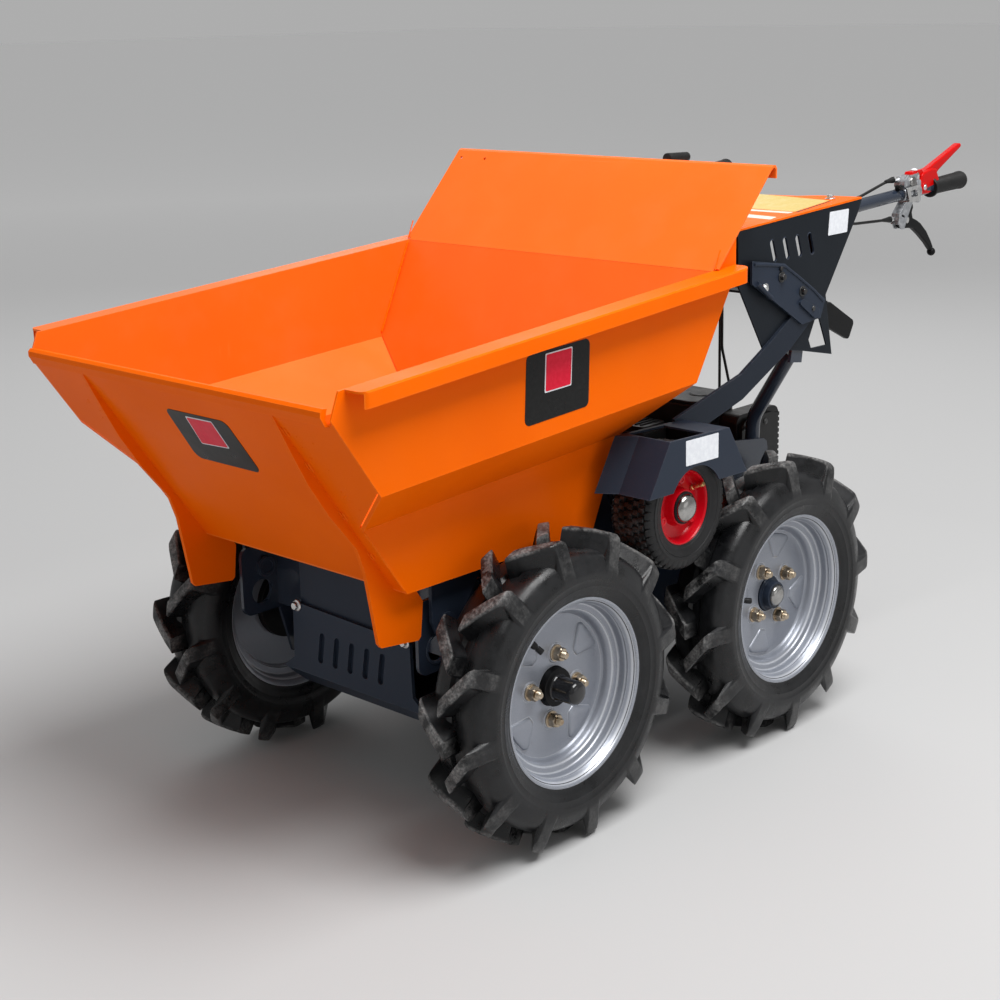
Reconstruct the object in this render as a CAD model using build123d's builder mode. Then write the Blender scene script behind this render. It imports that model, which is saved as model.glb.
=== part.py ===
"""Walk-behind site dumper: four driven wheels, a forward-tipping skip, an engine
at the back and a console with two handlebars.

Frame: X forward, Y to the machine's left, Z up, millimetres. The origin is on the
ground under the middle of the machine. Profile points in the tables are measured
from the centre of the front axle, as (x forward, z up) or (y left, z up).
"""
import os
from math import hypot, sqrt

from build123d import *

os.makedirs("parts", exist_ok=True)

# ---------------------------------------------------------------- driving sizes
FRONT_X = 378.5          # front axle ahead of the origin
AXLE_Z = 237.0           # axle height = wheel radius
WHEELBASE = 541.0

TYRE_R = 237.0           # over the lugs
TYRE_Y = 306.0           # centre of the tyre from the machine's middle
RIM_Y = 306.0
STUB_R = 12.7
RUN_GAP = 0.3            # radial running clearance at every hinge

IDLER_X, IDLER_Z = -272.0, 214.0     # friction wheel between the two tyres
IDLER_Y = 301.0
IDLER_STUB_R = 10.0

PIVOT_X, PIVOT_Z = 123.0, 111.0      # skip pivot
PIN_R = 10.0

CHASSIS_Y = 200.0        # outer face of the chassis side plates
CHASSIS_T = 6.0

SHEET = 3.0              # skip sheet
WALL_Y = 330.0           # outer face of the skip's upper wall
LOW_Y = 238.0            # outer face of the skip's lower wall
FLANGE_Y = 363.0         # outside of the rim flange
FLOOR_Z = 184.0          # underside of the skip floor
FRONT_SLOPE = 0.69       # forward run per unit of height, front panel
FRONT_FOOT = 220.6       # front panel's outer face at floor level
BACK_SLOPE = 0.4706      # rearward run per unit of height, back wall
BACK_FOOT = -164.7       # back wall's inner face at floor level
RIM_RISE = 0.0718        # the rim climbs towards the rear
FOLD_RISE = 0.0579       # so do the side folds

CONSOLE_Y = 262.0        # outer face of the console's sides
CONSOLE_T = 3.0
RAIL_T = 6.0

HANDLE_R = 11.1
GRIP_R = 15.5
GRIP_LEN = 104.0
# centre line of the left handlebar, (x, y, z)
BAR = [(-780, 243, 602), (-1000, 254.5, 617), (-1182, 264, 627)]


def side_plane(y):
    """Side-view plane, facing the machine's right, its origin on the front axle."""
    return Plane(origin=(FRONT_X, y, AXLE_Z), x_dir=(1, 0, 0), z_dir=(0, -1, 0))


def cross_plane(x):
    """Cross-section plane, facing forward, x measured from the front axle."""
    return Plane(origin=(FRONT_X + x, 0, AXLE_Z), x_dir=(0, 1, 0), z_dir=(1, 0, 0))


def wheel_plane(x, z):
    """Plane through a wheel's axis: local X is the machine's left, local Y the radius."""
    return Plane(origin=(FRONT_X + x, 0, AXLE_Z + z), x_dir=(0, 1, 0), z_dir=(1, 0, 0))


def wheel_axis(x, z):
    return Axis((FRONT_X + x, 0, AXLE_Z + z), (0, 1, 0))


def outline(points, mode=Mode.ADD):
    """Closed face through the points of a table, in the sketch it is called in."""
    Polygon(*points, align=None, mode=mode)


def finish(part, label):
    part.part.label = label
    export_step(part.part, f"parts/{label}.step")


SIDES = (("left", 1), ("right", -1))


def outer_plane(outer, thick, sign):
    """Side plane from which extruding by the thickness fills outer-thick to outer."""
    return side_plane(outer if sign > 0 else -(outer - thick))


# ------------------------------------------------------------------ road wheels
# (radius, distance outboard of the tyre's middle)
TYRE_SECTION = [(129, -37.5), (141.5, -39.3), (142, -44.5), (152, -49), (178, -54), (204, -53), (226, -47),
                (235, -42), (237, -30), (237, 30), (235, 42), (226, 47), (204, 53),
                (178, 54), (152, 49), (142, 44.5), (141.5, 39.3), (129, 37.5)]
# pressed rim, (radius, distance outboard of the rim's middle), outside then inside
RIM_SECTION = [(141, -43.5), (141, -40), (128.5, -38), (128.5, -18), (112, -12), (112, 14),
               (128.5, 20), (128.5, 38), (141, 40), (141, 43.5),
               (137, 43.5), (125, 41), (125, 22), (108.5, 16), (108.5, -8.5), (30, -8.5),
               (30, -12.5), (108.5, -12.5), (125, -20), (125, -41), (137, -43.5)]
# hub, (radius, distance from the machine's middle)
FRONT_HUB = [(STUB_R + RUN_GAP, 258), (30, 258), (30, 286), (62, 286), (62, 293.4),
             (29, 293.4), (29, 309), (17.5, 309), (17.5, 348), (15, 350), (0, 350),
             (0, 316), (STUB_R + RUN_GAP, 316)]
REAR_HUB = [(STUB_R + RUN_GAP, 258), (30, 258), (30, 286), (62, 286), (62, 293.4),
            (29, 293.4), (29, 305), (23, 305), (23, 319), (17, 323), (9, 326), (0, 327),
            (0, 316), (STUB_R + RUN_GAP, 316)]

for end, x, hub_table in (("front", 0.0, FRONT_HUB), ("rear", -WHEELBASE, REAR_HUB)):
    for side, s in SIDES:
        with BuildPart() as tyre:
            with BuildSketch(wheel_plane(x, 0)):
                outline([(s * (TYRE_Y + w), r) for r, w in TYRE_SECTION])
            revolve(axis=wheel_axis(x, 0))
        finish(tyre, f"tyre_{end}_{side}")

        with BuildPart() as rim:
            with BuildSketch(wheel_plane(x, 0)):
                outline([(s * (RIM_Y + w), r) for r, w in RIM_SECTION])
            revolve(axis=wheel_axis(x, 0))
        finish(rim, f"rim_{end}_{side}")

        with BuildPart() as hub:
            with BuildSketch(wheel_plane(x, 0)):
                outline([(s * y, r) for r, y in hub_table])
            revolve(axis=wheel_axis(x, 0))
        finish(hub, f"hub_{end}_{side}")

# ------------------------------------------------- friction wheels and their arms
# (radius, distance outboard of the wheel's middle)
IDLER_TYRE = [(57.2, -30), (66, -34), (82, -38), (94, -36), (99.5, -30), (101, -20), (101, 20),
              (99.5, 30), (94, 36), (82, 38), (66, 34), (57.2, 30)]
IDLER_RIM = [(IDLER_STUB_R + RUN_GAP, -30), (20, -30), (20, -4), (51, -4), (51, -29), (57, -29),
             (57, 31), (53, 31), (47, 14), (27, 8), (27, 30), (21.5, 33), (21.5, 38), (14, 43),
             (0, 45), (0, 36), (IDLER_STUB_R + RUN_GAP, 36)]
for side, s in SIDES:
    with BuildPart() as idler_tyre:
        with BuildSketch(wheel_plane(IDLER_X, IDLER_Z)):
            outline([(s * (IDLER_Y + w), r) for r, w in IDLER_TYRE])
        revolve(axis=wheel_axis(IDLER_X, IDLER_Z))
    finish(idler_tyre, f"friction_tyre_{side}")

    with BuildPart() as idler_rim:
        with BuildSketch(wheel_plane(IDLER_X, IDLER_Z)):
            outline([(s * (IDLER_Y + w), r) for r, w in IDLER_RIM])
        revolve(axis=wheel_axis(IDLER_X, IDLER_Z))
    finish(idler_rim, f"friction_rim_{side}")

# arm: (radius, distance from the machine's middle), stepped shaft out of the side plate
ARM_SHAFT = [(0, CHASSIS_Y), (24, CHASSIS_Y), (24, 204), (16, 204), (16, 266),
             (IDLER_STUB_R, 266), (IDLER_STUB_R, 332), (0, 332)]
# stay behind the mudguard's arch: (x, z) bar out to the side face, and its foot on the side plate
ARM_STAY = [(-380, 256), (-396.1, 256), (-383.9, 276), (-377, 276)]
ARM_FOOT = [(-380, 200), (-400, 200), (-396, 258), (-380, 258)]
with BuildPart() as arms:
    for side, s in SIDES:
        with BuildSketch(wheel_plane(IDLER_X, IDLER_Z)):
            outline([(s * y, r) for r, y in ARM_SHAFT])
        revolve(axis=wheel_axis(IDLER_X, IDLER_Z))
        with BuildSketch(outer_plane(346, 146, s)):
            outline(ARM_STAY)
        extrude(amount=146)
        with BuildSketch(outer_plane(206, 6, s)):
            outline(ARM_FOOT)
        extrude(amount=6)
finish(arms, "friction_wheel_arms")

# ------------------------------------------------------------------------- axles
# (radius, distance from the machine's middle)
AXLE = [(0, 0), (27, 0), (27, 190), (30, 190), (30, 252), (20, 252), (20, 256),
        (STUB_R, 256), (STUB_R, 314), (0, 314)]
for end, x in (("front", 0.0), ("rear", -WHEELBASE)):
    with BuildPart() as axle:
        for side, s in SIDES:
            with BuildSketch(wheel_plane(x, 0)):
                outline([(s * y, r) for r, y in AXLE])
            revolve(axis=wheel_axis(x, 0))
    finish(axle, f"axle_{end}")

# ----------------------------------------------------------------------- chassis
# side plate outline, (x, z), front end first
SIDE_PLATE = [(168, 36), (168, 147), (51, 153), (-170, 158), (-218, 232), (-586, 237),
              (-668, 226), (-676, 220), (-679, 208), (-679, -30), (-664, -45), (74, -45), (96, 36)]
EYE_X, EYE_Z, EYE_R = 130.0, 71.0, 20.0       # tie-down eye in the side plate's nose
for side, s in SIDES:
    with BuildPart() as side_plate:
        with BuildSketch(outer_plane(CHASSIS_Y, CHASSIS_T, s)) as sk:
            outline(SIDE_PLATE)
            fillet(sk.vertices().group_by(Axis.X)[-1], 16)
            for px, pz, r in ((EYE_X, EYE_Z, EYE_R), (PIVOT_X, PIVOT_Z, PIN_R), (0, 0, 30),
                              (-WHEELBASE, 0, 30)):
                with Locations((px, pz)):
                    Circle(r, mode=Mode.SUBTRACT)
        extrude(amount=CHASSIS_T)
        # bolting flange turned inwards behind the nose
        with BuildSketch(cross_plane(93)):
            with Locations((s * (CHASSIS_Y - CHASSIS_T - 38), 93)):
                Rectangle(76, 100)
        extrude(amount=6)
    finish(side_plate, f"chassis_side_{side}")

# floor and cross walls between the side plates: wall (x from, bottom, top, half width)
CROSS_WALLS = [(109, -45, 143, 118), (-178, -45, 150, 194), (-500, -45, 0, 194)]
TRAY_PLAN = [(115, 118), (40, 118), (20, 194), (-800, 194)]
with BuildPart() as tray:
    with BuildSketch(Plane.XY.offset(AXLE_Z - 45)):
        plan = [(FRONT_X + x, y) for x, y in TRAY_PLAN]
        outline(plan + [(x, -y) for x, y in plan[::-1]])
    extrude(amount=5)
    for x, low, high, half in CROSS_WALLS:
        with BuildSketch(cross_plane(x)):
            with Locations((0, (low + high) / 2)):
                Rectangle(2 * half, high - low)
        extrude(amount=6)
    # returns from the front wall back to the bolting flanges
    for side, s in SIDES:
        with BuildSketch(cross_plane(93)):
            with Locations((s * 115, 93)):
                Rectangle(6, 100)
        extrude(amount=20)
finish(tray, "chassis_tray")

# nose plate: bolted panel with its lower edge folded back, and a row of plain slots
with BuildPart() as nose:
    with BuildSketch(cross_plane(115)):
        outline([(-131, 66), (131, 57), (134, -27), (161, -48), (-161, -48), (-134, -27)])
    extrude(amount=6)
    with BuildSketch(side_plane(161)):
        outline([(121, -47), (115, -47), (76, -80), (80, -84)])
    extrude(amount=322)
    with BuildSketch(cross_plane(115)):
        for i in range(5):
            with Locations((-68 + 34 * i, 2)):
                SlotOverall(52, 12, rotation=80)
    extrude(amount=6, mode=Mode.SUBTRACT)
finish(nose, "nose_plate")

# skip pivot pins, with a head outboard: (radius, distance from the machine's middle)
PIN = [(0, 188), (17, 188), (17, 194), (PIN_R, 194), (PIN_R, 212.3), (16, 212.3), (16, 216.3), (0, 216.3)]
with BuildPart() as pins:
    for side, s in SIDES:
        with BuildSketch(wheel_plane(PIVOT_X, PIVOT_Z)):
            outline([(s * y, r) for r, y in PIN])
        revolve(axis=wheel_axis(PIVOT_X, PIVOT_Z))
finish(pins, "skip_pivot_pins")

# transmission and engine masses: (label, x from, x to, y from, y to, z from, z to, corner radius)
BLOCKS = [
    ("transmission", -470, -250, -110, 110, -40, 110, 12),
    ("engine_block", -800, -590, -130, 118, -40, 186, 10),
    ("engine_cowl", -776, -640, 118, 166, 58, 266, 30),
    ("fuel_tank", -720, -600, -100, 110, 190, 288, 26),
    ("air_cleaner", -586, -510, -60, 60, 176, 262, 14),
]
for label, x0, x1, y0, y1, z0, z1, r in BLOCKS:
    with BuildPart() as block:
        with BuildSketch(side_plane(y1)):
            with Locations(((x0 + x1) / 2, (z0 + z1) / 2)):
                RectangleRounded(x1 - x0, z1 - z0, r)
        extrude(amount=y1 - y0)
    finish(block, label)

# ---------------------------------------------------------------------- mudguards
GUARD_OUT, GUARD_IN, GUARD_T = 352.0, 263.0, 3.0
GUARD_BEND = 293.0       # inboard of this the front face swings forward
GUARD_SWING = 20.0
GUARD_SIDE = [(-163, 252), (-211, 331), (-357, 326), (-405, 247.5), (-342, 249)]
# folded strip over the wheel: outer line then the same line inset by the sheet
GUARD_FRONT = [(-163, 252), (-211, 331), (-212.6, 327.9), (-166.6, 252)]
GUARD_TOP = [(-211, 331), (-357, 326), (-405, 247.5), (-401.4, 247.5), (-355.4, 322.8), (-212.6, 327.9)]
GUARD_FILL = [(-212, GUARD_BEND), (-191, GUARD_IN), (-212, GUARD_IN)]
for side, s in SIDES:
    with BuildPart() as guard:
        with BuildSketch(outer_plane(GUARD_OUT, GUARD_OUT - GUARD_IN, s)):
            outline(GUARD_TOP)
        extrude(amount=GUARD_OUT - GUARD_IN)
        with BuildSketch(outer_plane(GUARD_OUT, GUARD_OUT - GUARD_BEND, s)):
            outline(GUARD_FRONT)
        extrude(amount=GUARD_OUT - GUARD_BEND)
        with BuildSketch(side_plane(s * GUARD_BEND)):
            outline(GUARD_FRONT)
        extrude(amount=hypot(GUARD_SWING, GUARD_BEND - GUARD_IN),
                dir=(GUARD_SWING, -s * (GUARD_BEND - GUARD_IN), 0))
        with BuildSketch(Plane.XY.offset(AXLE_Z + 328)):
            outline([(FRONT_X + x, s * y) for x, y in GUARD_FILL])
        extrude(amount=3)
        with BuildSketch(outer_plane(GUARD_OUT, GUARD_T, s)):
            outline(GUARD_SIDE)
            with Locations((-276, 216)):
                Circle(66, mode=Mode.SUBTRACT)
        extrude(amount=GUARD_T)
        with BuildSketch(Plane.XY.offset(AXLE_Z + 310)):
            with Locations((FRONT_X - 257, s * 309)):
                Rectangle(86, 78)
        extrude(amount=40, mode=Mode.SUBTRACT)
    finish(guard, f"mudguard_{side}")

# --------------------------------------------------------------------------- skip
def front_x(z):
    return FRONT_FOOT + FRONT_SLOPE * (z - FLOOR_Z)


def back_x(z):
    return BACK_FOOT - BACK_SLOPE * (z - FLOOR_Z)


def rim_z(x):
    return 511.0 + RIM_RISE * (408.0 - x)


FOLD_HI_FRONT, FOLD_LO_FRONT = 364.5, 291.5      # heights of the side folds at the front panel
FOLD_HI_BACK = 402.0
FOLD_LO_BACK = FOLD_LO_FRONT + FOLD_RISE * (front_x(FOLD_LO_FRONT) + 232)
LIP_Z = 470.0
BEND_Z = 565.0
BOARD_TOP = (-480.0, 708.0)
BOARD_Y = 335.0
FLANGE_BACK = -395.5      # rear end of the rim flange
LIP_Y = 320.0            # half length of the pouring lip

SKIP_UPPER = [(front_x(FOLD_HI_FRONT), FOLD_HI_FRONT), (front_x(476), 476), (408, 511),
              (-343, rim_z(-343)), (-349.5, 565), (-397.5, 616), (-397.5, rim_z(-397.5) - 8), (-390, 545), (-303, FOLD_HI_BACK)]
SKIP_LOWER = [(front_x(FLOOR_Z), FLOOR_Z), (front_x(FOLD_LO_FRONT), FOLD_LO_FRONT),
              (back_x(FOLD_LO_BACK) - SHEET, FOLD_LO_BACK), (back_x(FLOOR_Z) - SHEET, FLOOR_Z)]
SKIP_PROFILE = [(front_x(FLOOR_Z), FLOOR_Z), (front_x(476), 476), (420, 540), (-397, 600),
                (-397, 560), (-303, FOLD_HI_BACK), (back_x(FOLD_LO_BACK) - SHEET, FOLD_LO_BACK),
                (back_x(FLOOR_Z) - SHEET, FLOOR_Z)]
for side, s in SIDES:
    # sloping band between the two folds
    with BuildPart() as band:
        z_hi = FOLD_HI_FRONT - FOLD_RISE * (380 - front_x(FOLD_HI_FRONT))
        z_lo = FOLD_LO_FRONT - FOLD_RISE * (380 - front_x(FOLD_LO_FRONT))
        with BuildSketch(cross_plane(380)):
            outline([(s * WALL_Y, z_hi), (s * LOW_Y, z_lo), (s * LOW_Y, z_lo - 4), (s * (LOW_Y - SHEET), z_lo - 4),
                     (s * (LOW_Y - SHEET), z_lo + 4), (s * (WALL_Y - SHEET), z_hi + 4),
                     (s * (WALL_Y - SHEET), z_hi + 8), (s * WALL_Y, z_hi + 8)])
        extrude(amount=760, dir=(-1, 0, FOLD_RISE))
        with BuildSketch(side_plane(400)):
            outline(SKIP_PROFILE)
        extrude(amount=800, mode=Mode.INTERSECT)

    with BuildPart() as skip_side:
        with BuildSketch(outer_plane(WALL_Y, SHEET, s)):
            outline(SKIP_UPPER)
        extrude(amount=SHEET)
        with BuildSketch(outer_plane(LOW_Y, SHEET, s)):
            outline(SKIP_LOWER)
        extrude(amount=SHEET)
        # rim flange with its lip turned down
        with BuildSketch(cross_plane(398)):
            top = rim_z(398)
            outline([(s * (WALL_Y - SHEET), top), (s * (FLANGE_Y - 2), top), (s * FLANGE_Y, top - 2),
                     (s * FLANGE_Y, top - 22), (s * (FLANGE_Y - SHEET), top - 22),
                     (s * (FLANGE_Y - SHEET), top - SHEET), (s * (WALL_Y - SHEET), top - SHEET)])
        extrude(amount=(398 - FLANGE_BACK) * sqrt(1 + RIM_RISE ** 2), dir=(-1, 0, RIM_RISE))
        # rounded outer corners of the flange: (end, way inwards, radius)
        for end, way, r in ((FLANGE_BACK, 1, 20), (398, -1, 12)):
            with BuildSketch(Plane.XY.offset(AXLE_Z + 470)):
                with Locations((FRONT_X + end + way * r / 2, s * (FLANGE_Y - r / 2))):
                    Rectangle(r, r)
                with Locations((FRONT_X + end + way * r, s * (FLANGE_Y - r))):
                    Circle(r, mode=Mode.SUBTRACT)
            extrude(amount=130, mode=Mode.SUBTRACT)
        add(band.part)
    finish(skip_side, f"skip_side_{side}")

front_len = sqrt(1 + FRONT_SLOPE ** 2)
front_panel_plane = Plane(origin=(FRONT_X + FRONT_FOOT, 0, AXLE_Z + FLOOR_Z), x_dir=(0, 1, 0),
                          z_dir=(1, 0, -FRONT_SLOPE))
with BuildPart() as front_panel:
    with BuildSketch(front_panel_plane):
        lo, hi = LOW_Y - SHEET, WALL_Y - SHEET
        rows = [(lo, SHEET), (lo, FOLD_LO_FRONT + 6 - FLOOR_Z), (hi, FOLD_HI_FRONT + 6 - FLOOR_Z), (hi, LIP_Z - FLOOR_Z)]
        right = [(y, h * front_len) for y, h in rows]
        outline([(-y, h) for y, h in right] + right[::-1])
    extrude(amount=-SHEET)
    # rolled lip along the top
    with BuildSketch(side_plane(LIP_Y)):
        outline([(front_x(466), 466), (front_x(466) + 8, 468), (427, 475), (430, 480), (430, 487), (426, 491),
                 (419, 490), (front_x(476.5), 476.5)])
    extrude(amount=2 * LIP_Y)
finish(front_panel, "skip_front_panel")

with BuildPart() as floor:
    with BuildSketch(side_plane(LOW_Y - SHEET)):
        outline([(front_x(FLOOR_Z), FLOOR_Z), (front_x(FLOOR_Z + SHEET), FLOOR_Z + SHEET),
                 (back_x(FLOOR_Z + SHEET), FLOOR_Z + SHEET), (back_x(FLOOR_Z + SHEET) - 2.7, FLOOR_Z + 1.7),
                 (back_x(FLOOR_Z + SHEET) - 2.7, FLOOR_Z)])
    extrude(amount=2 * (LOW_Y - SHEET))
finish(floor, "skip_floor")

back_len = sqrt(1 + BACK_SLOPE ** 2)
back_plane = Plane(origin=(FRONT_X + BACK_FOOT, 0, AXLE_Z + FLOOR_Z), x_dir=(0, 1, 0),
                   z_dir=(1, 0, BACK_SLOPE))
board_dir = (BOARD_TOP[0] - back_x(BEND_Z), BOARD_TOP[1] - BEND_Z)
board_len = hypot(*board_dir)
board_plane = Plane(origin=(FRONT_X + back_x(BEND_Z), 0, AXLE_Z + BEND_Z), x_dir=(0, 1, 0),
                    z_dir=(board_dir[1], 0, -board_dir[0]))
with BuildPart() as board:
    with BuildSketch(back_plane):
        rows = [(lo, SHEET), (lo, FOLD_LO_BACK + 7 - FLOOR_Z), (hi, FOLD_HI_BACK + 5 - FLOOR_Z), (hi, BEND_Z - FLOOR_Z)]
        right = [(y, h * back_len) for y, h in rows]
        outline([(-y, h) for y, h in right] + right[::-1])
    extrude(amount=-SHEET)
    with BuildSketch(board_plane):
        outline([(-hi, -1), (hi, -1), (hi, 4), (BOARD_Y, 4), (BOARD_Y, board_len), (-BOARD_Y, board_len),
                 (-BOARD_Y, 4), (-hi, 4)])
    extrude(amount=-SHEET)
    # hem rolled back along the top edge
    with BuildSketch(side_plane(BOARD_Y)):
        outline([(-480, 708), (-485, 710.5), (-490, 710), (-493.5, 705), (-493.5, 690), (-490.5, 690),
                 (-490.5, 703), (-488.5, 706), (-485, 707), (-481.5, 704.5), (-479, 703)])
    extrude(amount=2 * BOARD_Y)
    # two holes near the right-hand corner
    with BuildSketch(board_plane):
        for y in (-319, -262):
            with Locations((y, 181)):
                Circle(3)
    extrude(amount=-SHEET, mode=Mode.SUBTRACT)
finish(board, "skip_back_board")

# stiffening ribs under the front panel, one plate each side: (x, z)
RIB_Y, RIB_T = 211.5, 6.0
RIB = [(front_x(467), 467), (416, 465), (388, 410), (364, 365), (331, 315), (285, 258), (272, 221),
       (253, 113), (248, 107), (178, 98.5), (173, 103), (167, 154), (186, FLOOR_Z), (front_x(FLOOR_Z), FLOOR_Z)]
with BuildPart() as ribs:
    for side, s in SIDES:
        with BuildSketch(outer_plane(RIB_Y, RIB_T, s)):
            outline(RIB)
        extrude(amount=RIB_T)
finish(ribs, "skip_ribs")

# pivot lugs under the skip floor: (x, z)
LUG = [(40, FLOOR_Z), (150, FLOOR_Z), (150, 118), (140, 94), (123, 86), (106, 93), (97, 108)]
with BuildPart() as lugs:
    for side, s in SIDES:
        with BuildSketch(outer_plane(RIB_Y, RIB_T, s)):
            outline(LUG)
            with Locations((PIVOT_X, PIVOT_Z)):
                Circle(PIN_R + RUN_GAP, mode=Mode.SUBTRACT)
        extrude(amount=RIB_T)
finish(lugs, "skip_pivot_lugs")

# ------------------------------------------------------------------------ console
CONSOLE_SIDE = [(-496, 603), (-855, 622), (-843, 599), (-751, 470), (-775, 364), (-683, 384),
                (-571, 404), (-501, 514)]
CABLE_HOLES = [(229, 606), (235, 587.5)]
CONSOLE_GAP = [(-721, 433), (-735, 431), (-758, 383), (-711, 384), (-703, 400)]
REAR_OPENING = [(-60, 478), (200, 478), (200, 598), (-60, 598)]
GEAR_PIVOT, GEAR_R = (-90, 566), 6.0
with BuildPart() as console:
    for side, s in SIDES:
        with BuildSketch(outer_plane(CONSOLE_Y, CONSOLE_T, s)):
            outline(CONSOLE_SIDE)
            outline(CONSOLE_GAP, mode=Mode.SUBTRACT)
            for i in range(4):
                with Locations((-594 - 36 * i, 562)):
                    SlotOverall(40, 11, rotation=70, mode=Mode.SUBTRACT)
        extrude(amount=CONSOLE_T)
    inner = CONSOLE_Y - CONSOLE_T
    # front wall, rear wall and the shelf at its foot: outline in side view
    for strip in ([(-496, 603), (-499, 603), (-504, 515), (-501, 514)],
                  [(-809, 617.5), (-754, 470), (-751, 470), (-805.5, 617.5)],
                  [(-754, 470), (-754, 466), (-700, 466), (-700, 470)]):
        with BuildSketch(side_plane(inner)):
            outline(strip)
        extrude(amount=2 * inner)
    # the handlebars leave through the rear wall
    for side, s in SIDES:
        (x0, y0, z0), (x1, y1, z1) = BAR[:2]
        with BuildSketch(Plane(origin=(FRONT_X + x0, s * y0, AXLE_Z + z0), z_dir=(x1 - x0, s * (y1 - y0), z1 - z0))):
            Circle(HANDLE_R)
        extrude(amount=140, mode=Mode.SUBTRACT)
    # cable holes beside them, (y, z)
    with BuildSketch(cross_plane(-840)):
        for y, z in CABLE_HOLES:
            with Locations((y, z), (-y, z)):
                Circle(5)
        with Locations(GEAR_PIVOT):
            Circle(GEAR_R)
    extrude(amount=70, mode=Mode.SUBTRACT)
    # opening in the rear wall behind the linkage
    with BuildSketch(cross_plane(-840)) as sk:
        outline(REAR_OPENING)
        fillet(sk.vertices(), 12)
    extrude(amount=110, mode=Mode.SUBTRACT)
finish(console, "console_shell")

# lid: rear edge in plan, (x, y)
LID_REAR = [(-852, 263), (-844, 212), (-838, 184), (-821, 154), (-811, 79)]
with BuildPart() as lid:
    with BuildSketch(side_plane(CONSOLE_Y + 1)):
        outline([(-493, 603.2), (-493, 606.2), (-858, 625.7), (-858, 622.5), (-855, 622.2)])
    extrude(amount=2 * (CONSOLE_Y + 1))
    with BuildSketch(Plane.XY.offset(AXLE_Z + 590)):
        rear = [(FRONT_X + x, y) for x, y in [(-900, 280), (-852, 280)] + LID_REAR]
        outline(rear + [(x, -y) for x, y in rear[::-1]])
        with Locations((FRONT_X - 775, -90)):
            SlotOverall(50, 24)
    extrude(amount=60, mode=Mode.SUBTRACT)
finish(lid, "console_lid")

# latch plates bolted outside the rails' top ends: (x, z)
LATCH = [(-522, 554), (-613, 540), (-735, 466), (-722, 436), (-668, 432), (-585, 482), (-523, 517)]
with BuildPart() as latches:
    for side, s in SIDES:
        with BuildSketch(outer_plane(CONSOLE_Y + RAIL_T + 4, 4, s)):
            outline(LATCH)
        extrude(amount=4)
finish(latches, "latch_plates")

# rails from the mudguards up to the console: (x, z), top edge then bottom edge
RAIL = [(-330, 331), (-504, 374), (-590, 418), (-700, 482), (-722, 448), (-640, 394),
        (-508, 332), (-385, 301), (-357.5, 326.5), (-330, 327.5)]
with BuildPart() as rails:
    for side, s in SIDES:
        with BuildSketch(outer_plane(CONSOLE_Y + RAIL_T, RAIL_T, s)):
            outline(RAIL)
        extrude(amount=RAIL_T)
finish(rails, "frame_rails")

# bent stay tubes from the side plates up to the console's sides: (x, y, z)
STAY = [(-656, 181.4, 150), (-661, 181.4, 262), (-673, 247, 380)]
STAY_R = 12.5
STAY_TAB = [(-655, 368), (-688, 363), (-694, 402), (-662, 406)]
with BuildPart() as stays:
    for side, s in SIDES:
        with BuildLine() as route:
            FilletPolyline(*[(FRONT_X + x, s * y, AXLE_Z + z) for x, y, z in STAY], radius=60)
        with BuildSketch(Plane(origin=route.line @ 0, z_dir=route.line % 0)):
            Circle(STAY_R)
        sweep(path=route.wires()[0])
        with BuildSketch(outer_plane(CONSOLE_Y - CONSOLE_T, 6, s)):
            outline(STAY_TAB)
        extrude(amount=6)
finish(stays, "stay_tubes")

# release flap behind the console: plate on a short neck, spaced off the left side
FLAP = [(-772, 459), (-863, 408), (-846, 377), (-778, 409)]
FLAP_NECK = [(-736, 462), (-776, 455), (-778, 420), (-738, 440)]
FLAP_Y, FLAP_T = 250.0, 6.0
with BuildPart() as flap:
    with BuildSketch(outer_plane(FLAP_Y, FLAP_T, 1)) as sk:
        outline(FLAP)
        fillet(sk.vertices(), 8)
        outline(FLAP_NECK)
    extrude(amount=FLAP_T)
    with BuildSketch(side_plane(CONSOLE_Y - CONSOLE_T)):
        with Locations((-747, 451)):
            Circle(7)
    extrude(amount=CONSOLE_Y - CONSOLE_T - FLAP_Y)
finish(flap, "release_flap")

# ------------------------------------------------------- handlebars and controls
bars = {}
for side, s in SIDES:
    with BuildPart() as bar:
        with BuildLine() as route:
            FilletPolyline(*[(FRONT_X + x, s * y, AXLE_Z + z) for x, y, z in BAR], radius=80)
        d0 = Vector(BAR[1][0] - BAR[0][0], s * (BAR[1][1] - BAR[0][1]), BAR[1][2] - BAR[0][2])
        with BuildSketch(Plane(origin=(FRONT_X + BAR[0][0], s * BAR[0][1], AXLE_Z + BAR[0][2]), z_dir=d0)):
            Circle(HANDLE_R)
        sweep(path=route.wires()[0])
    finish(bar, f"handlebar_{side}")
    bars[side] = bar.part

    a, b = BAR[1], BAR[2]
    d1 = Vector(b[0] - a[0], s * (b[1] - a[1]), b[2] - a[2]).normalized()
    start = Vector(FRONT_X + b[0], s * b[1], AXLE_Z + b[2]) - d1 * GRIP_LEN
    with BuildPart() as grip:
        with BuildSketch(Plane(origin=start, z_dir=d1)):
            Circle(GRIP_R)
            Circle(HANDLE_R, mode=Mode.SUBTRACT)
        extrude(amount=GRIP_LEN)
        with BuildSketch(Plane(origin=start + d1 * GRIP_LEN, z_dir=d1)):
            Circle(GRIP_R)
        extrude(amount=5)
    finish(grip, f"grip_{side}")

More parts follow.
